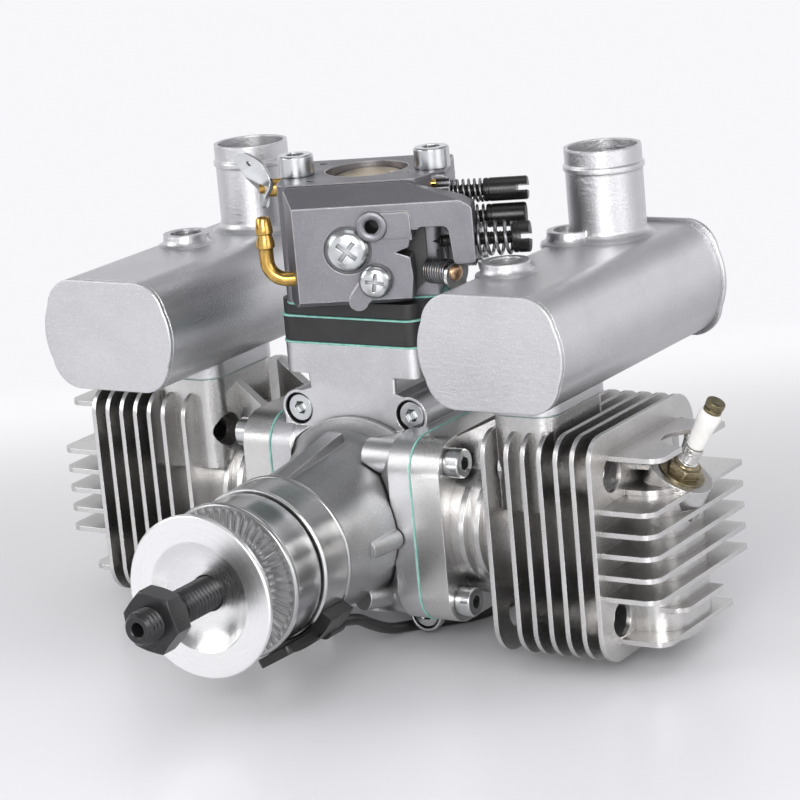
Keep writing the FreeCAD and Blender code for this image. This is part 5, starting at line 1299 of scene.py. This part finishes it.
ELBOW_V = -16.7
ELBOW_Z = 58.4
ELBOW_U = -22.0
ELBOW_BEND = 4.6
BEND_STEPS = 12
TUBE_RADIUS = 1.72
UPWARD = Vector((0, 0, 1))
stations = [(on_carb(-15.0, ELBOW_V, ELBOW_Z), -CARB_RIGHT, TUBE_RADIUS)]
for step in range(BEND_STEPS + 1):
    turn = radians(90) * step / BEND_STEPS
    u = ELBOW_U + ELBOW_BEND * (1 - sin(turn))
    z = ELBOW_Z + ELBOW_BEND * (1 - cos(turn))
    direction = -CARB_RIGHT * cos(turn) + UPWARD * sin(turn)
    stations.append((on_carb(u, ELBOW_V, z), direction, TUBE_RADIUS))
BARB = [(65.6, TUBE_RADIUS), (66.0, 1.95), (66.2, 2.2), (67.2, 2.2), (69.3, TUBE_RADIUS)]
BARB += [(69.4, 1.95), (69.6, 2.08), (70.4, 2.05), (73.0, 1.66), (73.25, 1.5), (73.3, 1.3)]
BARB += [(73.2, 1.05), (71.0, 1.0), (70.9, 0.05)]
stations += [(on_carb(ELBOW_U, ELBOW_V, height), UPWARD, radius) for height, radius in BARB]
elbow = piece_from(
    "fuel_elbow_tube", [sweep(stations)], "engine", "turned brass", "brass_parts", ["fuel_elbow"]
)
print("elbow faces:", len(elbow.data.polygons))

# %% [markdown]
# ## The spark plugs' shells
# Each shell is a small hexagon with chamfered corners on a thin seat, and a slim nickel neck
# that holds the ceramic. The hexagon is turned first, then milled: each point of a ring is
# drawn in to the nearest flat.

# %% The plug shells
PLUG_SEAT_X = 81.95
PLUG_SEAT_Z = 13.3
PLUG_TILT = radians(30)
HALF_FLAT = 3.7
CYLINDERS = ((1, 76.0), (-1, 87.0))


def milled(along, radius, turn):
    """Draw a round blank in to six flats over the nut's height."""
    if not 0.55 < along < 2.75 or radius < 3.75:
        return along, radius
    near_flat = (turn * 6) % 1.0 - 0.5
    return along, min(radius, HALF_FLAT / cos(near_flat * pi / 3))


SHELL = [(-15.5, 2.6), (-15.5, 4.6), (-14.9, 5.0), (0.0, 5.0), (0.0, 5.5), (0.35, 5.5)]
SHELL += [(0.5, 4.4), (0.6, 4.1), (0.8, 4.3), (1.5, 4.3), (2.2, 4.3), (2.5, 4.0), (2.7, 3.6)]
SHELL += [(2.7, 3.1), (3.0, 3.0), (3.3, 2.6), (3.3, 1.22), (0.2, 1.22), (-0.4, 2.6)]
NECK = [(2.9, 1.25), (2.9, 2.5), (3.5, 2.45), (3.8, 2.1), (5.6, 1.95), (5.75, 2.25)]
NECK += [(6.0, 2.3), (6.15, 2.1), (6.4, 2.1), (6.55, 2.35), (7.3, 2.35), (7.4, 2.2), (7.4, 1.25)]
shells = []
necks = []
for side_sign, middle in CYLINDERS:
    seat = Vector((side_sign * PLUG_SEAT_X, middle, PLUG_SEAT_Z))
    plug_axis = (side_sign * sin(PLUG_TILT), 0, cos(PLUG_TILT))
    shells.append(lathe_ring(seat, plug_axis, SHELL, 96, milled))
    necks.append(lathe_ring(seat, plug_axis, NECK, 64))
plug_nuts = piece_from("plug_nuts", shells, "engine", "plug steel", "plug_steel", ["plug_shells"])
piece_from("plug_necks", necks, "engine", "bright nickel", "plug_steel")
print("plug shells:", len(plug_nuts.data.polygons))

# %% [markdown]
# ## The table and the light
# The engine stands on a white table that runs up into a white background. Away from the camera
# the table's own colour fades and a glow takes its place, so it meets the background without
# an edge, and the engine's shadow stays in front.

# %% The floor
SPAN = 3.0
floor_mesh = bpy.data.meshes.new("table top")
corners = [(-SPAN, -SPAN, 0), (SPAN, -SPAN, 0), (SPAN, SPAN, 0), (-SPAN, SPAN, 0)]
floor_mesh.from_pydata(corners, [], [(0, 1, 2, 3)])
table_top = bpy.data.objects.new("table_top", floor_mesh)
table_top.location.z = (FLOOR_Z - 0.02) * MM
scene.collection.objects.link(table_top)

tree, shader = start_finish("table top", 0.0, 0.3)
where = object_place(tree)
cloud = noise(tree, {"Vector": where, "Scale": 3.0, "Detail": 2.0})
colour = blend_colours(tree, cloud, (0.77, 0.767, 0.785), (0.81, 0.807, 0.825))
away = along(tree, where, -toward)
cove = ramp(tree, away, 0.05, 0.34)
colour = blend_colours(tree, ramp(tree, away, 0.02, 0.26), colour, grey(0.0))
shader.inputs["Emission Color"].default_value = (0.975, 0.972, 1.0, 1.0)
camera_ray = tree.nodes.new("ShaderNodeLightPath").outputs["Is Camera Ray"]
glow = value(tree, "MULTIPLY", cove, value(tree, "MULTIPLY_ADD", camera_ray, 0.1, 0.86))
tree.links.new(glow, shader.inputs["Emission Strength"])
shine = value(tree, "MULTIPLY_ADD", cove, -0.5, 0.5)
tree.links.new(shine, shader.inputs["Specular IOR Level"])
link_up(tree, shader, colour)
table_top.data.materials.append(finishes["table top"])

# %% [markdown]
# ** The sky.** The background is white only to the camera, to reflections and through glass; as
# a lamp the sky is plain. Metal shows what is around it, so the sky that reflections see is not
# even: bright at the horizon, greyer overhead, and dark in one spot to the left, where a black
# flag darkens the turned faces' reflection; their dark streaks are also painted into their colour.

# %% The sky
world = bpy.data.worlds.new("studio")
world.use_nodes = True
scene.world = world
tree = world.node_tree
plain_sky = tree.nodes["Background"]
plain_sky.inputs["Color"].default_value = (0.97, 0.97, 1, 1)
plain_sky.inputs["Strength"].default_value = 0.75
direction = tree.nodes.new("ShaderNodeTexCoord").outputs["Generated"]
overhead = ramp(tree, split(tree, direction)["Z"], 0.15, 0.7)
sky = blend_colours(tree, overhead, (0.98, 0.98, 1.0), (0.28, 0.28, 0.295))
FLAG = Vector((-0.91, -0.4, 0.05)).normalized()
sky = blend_colours(tree, ramp(tree, along(tree, direction, FLAG), 0.955, 0.985), sky, grey(0.1))
seen_sky = add(tree, "ShaderNodeBackground", {"Color": sky, "Strength": 1.0})
white = add(tree, "ShaderNodeBackground", {"Color": (0.98, 0.98, 1, 1), "Strength": 1.0})
rays = tree.nodes.new("ShaderNodeLightPath").outputs
mirrored = value(tree, "MAXIMUM", rays["Is Glossy Ray"], rays["Is Transmission Ray"])
shown = plain_sky.outputs[0]
for rays_of, background in ((mirrored, seen_sky), (rays["Is Camera Ray"], white)):
    entries = {0: rays_of, 1: shown, 2: background.outputs[0]}
    shown = add(tree, "ShaderNodeMixShader", entries).outputs[0]
tree.links.new(shown, tree.nodes["World Output"].inputs["Surface"])

# %% [markdown]
# **The lamps.** Four soft boxes: the strongest in front, one at the left, and weak ones overhead
# and at the right, so that the silencers' sides stay darker than their end caps.

# %% The lamps
def soft_lamp(name, place_at, aim_at, size, power):
    """A square area lamp, placed and aimed in millimetres."""
    data = bpy.data.lights.new(name, "AREA")
    data.size = size * MM
    data.energy = power
    lamp = bpy.data.objects.new(name, data)
    scene.collection.objects.link(lamp)
    lamp.location = Vector(place_at) * MM
    aim = (Vector(aim_at) - Vector(place_at)).to_track_quat("-Z", "Y")
    lamp.rotation_mode = "QUATERNION"
    lamp.rotation_quaternion = aim


soft_lamp("left soft box", (-700, -500, 480), (0, 40, 20), 500, 2.35)
soft_lamp("front soft box", (450, -860, 400), (0, 40, 20), 500, 6.0)
soft_lamp("top soft box", (100, 150, 900), (0, 40, 20), 600, 0.9)
soft_lamp("right soft box", (900, -150, 160), (0, 40, 10), 520, 1.3)
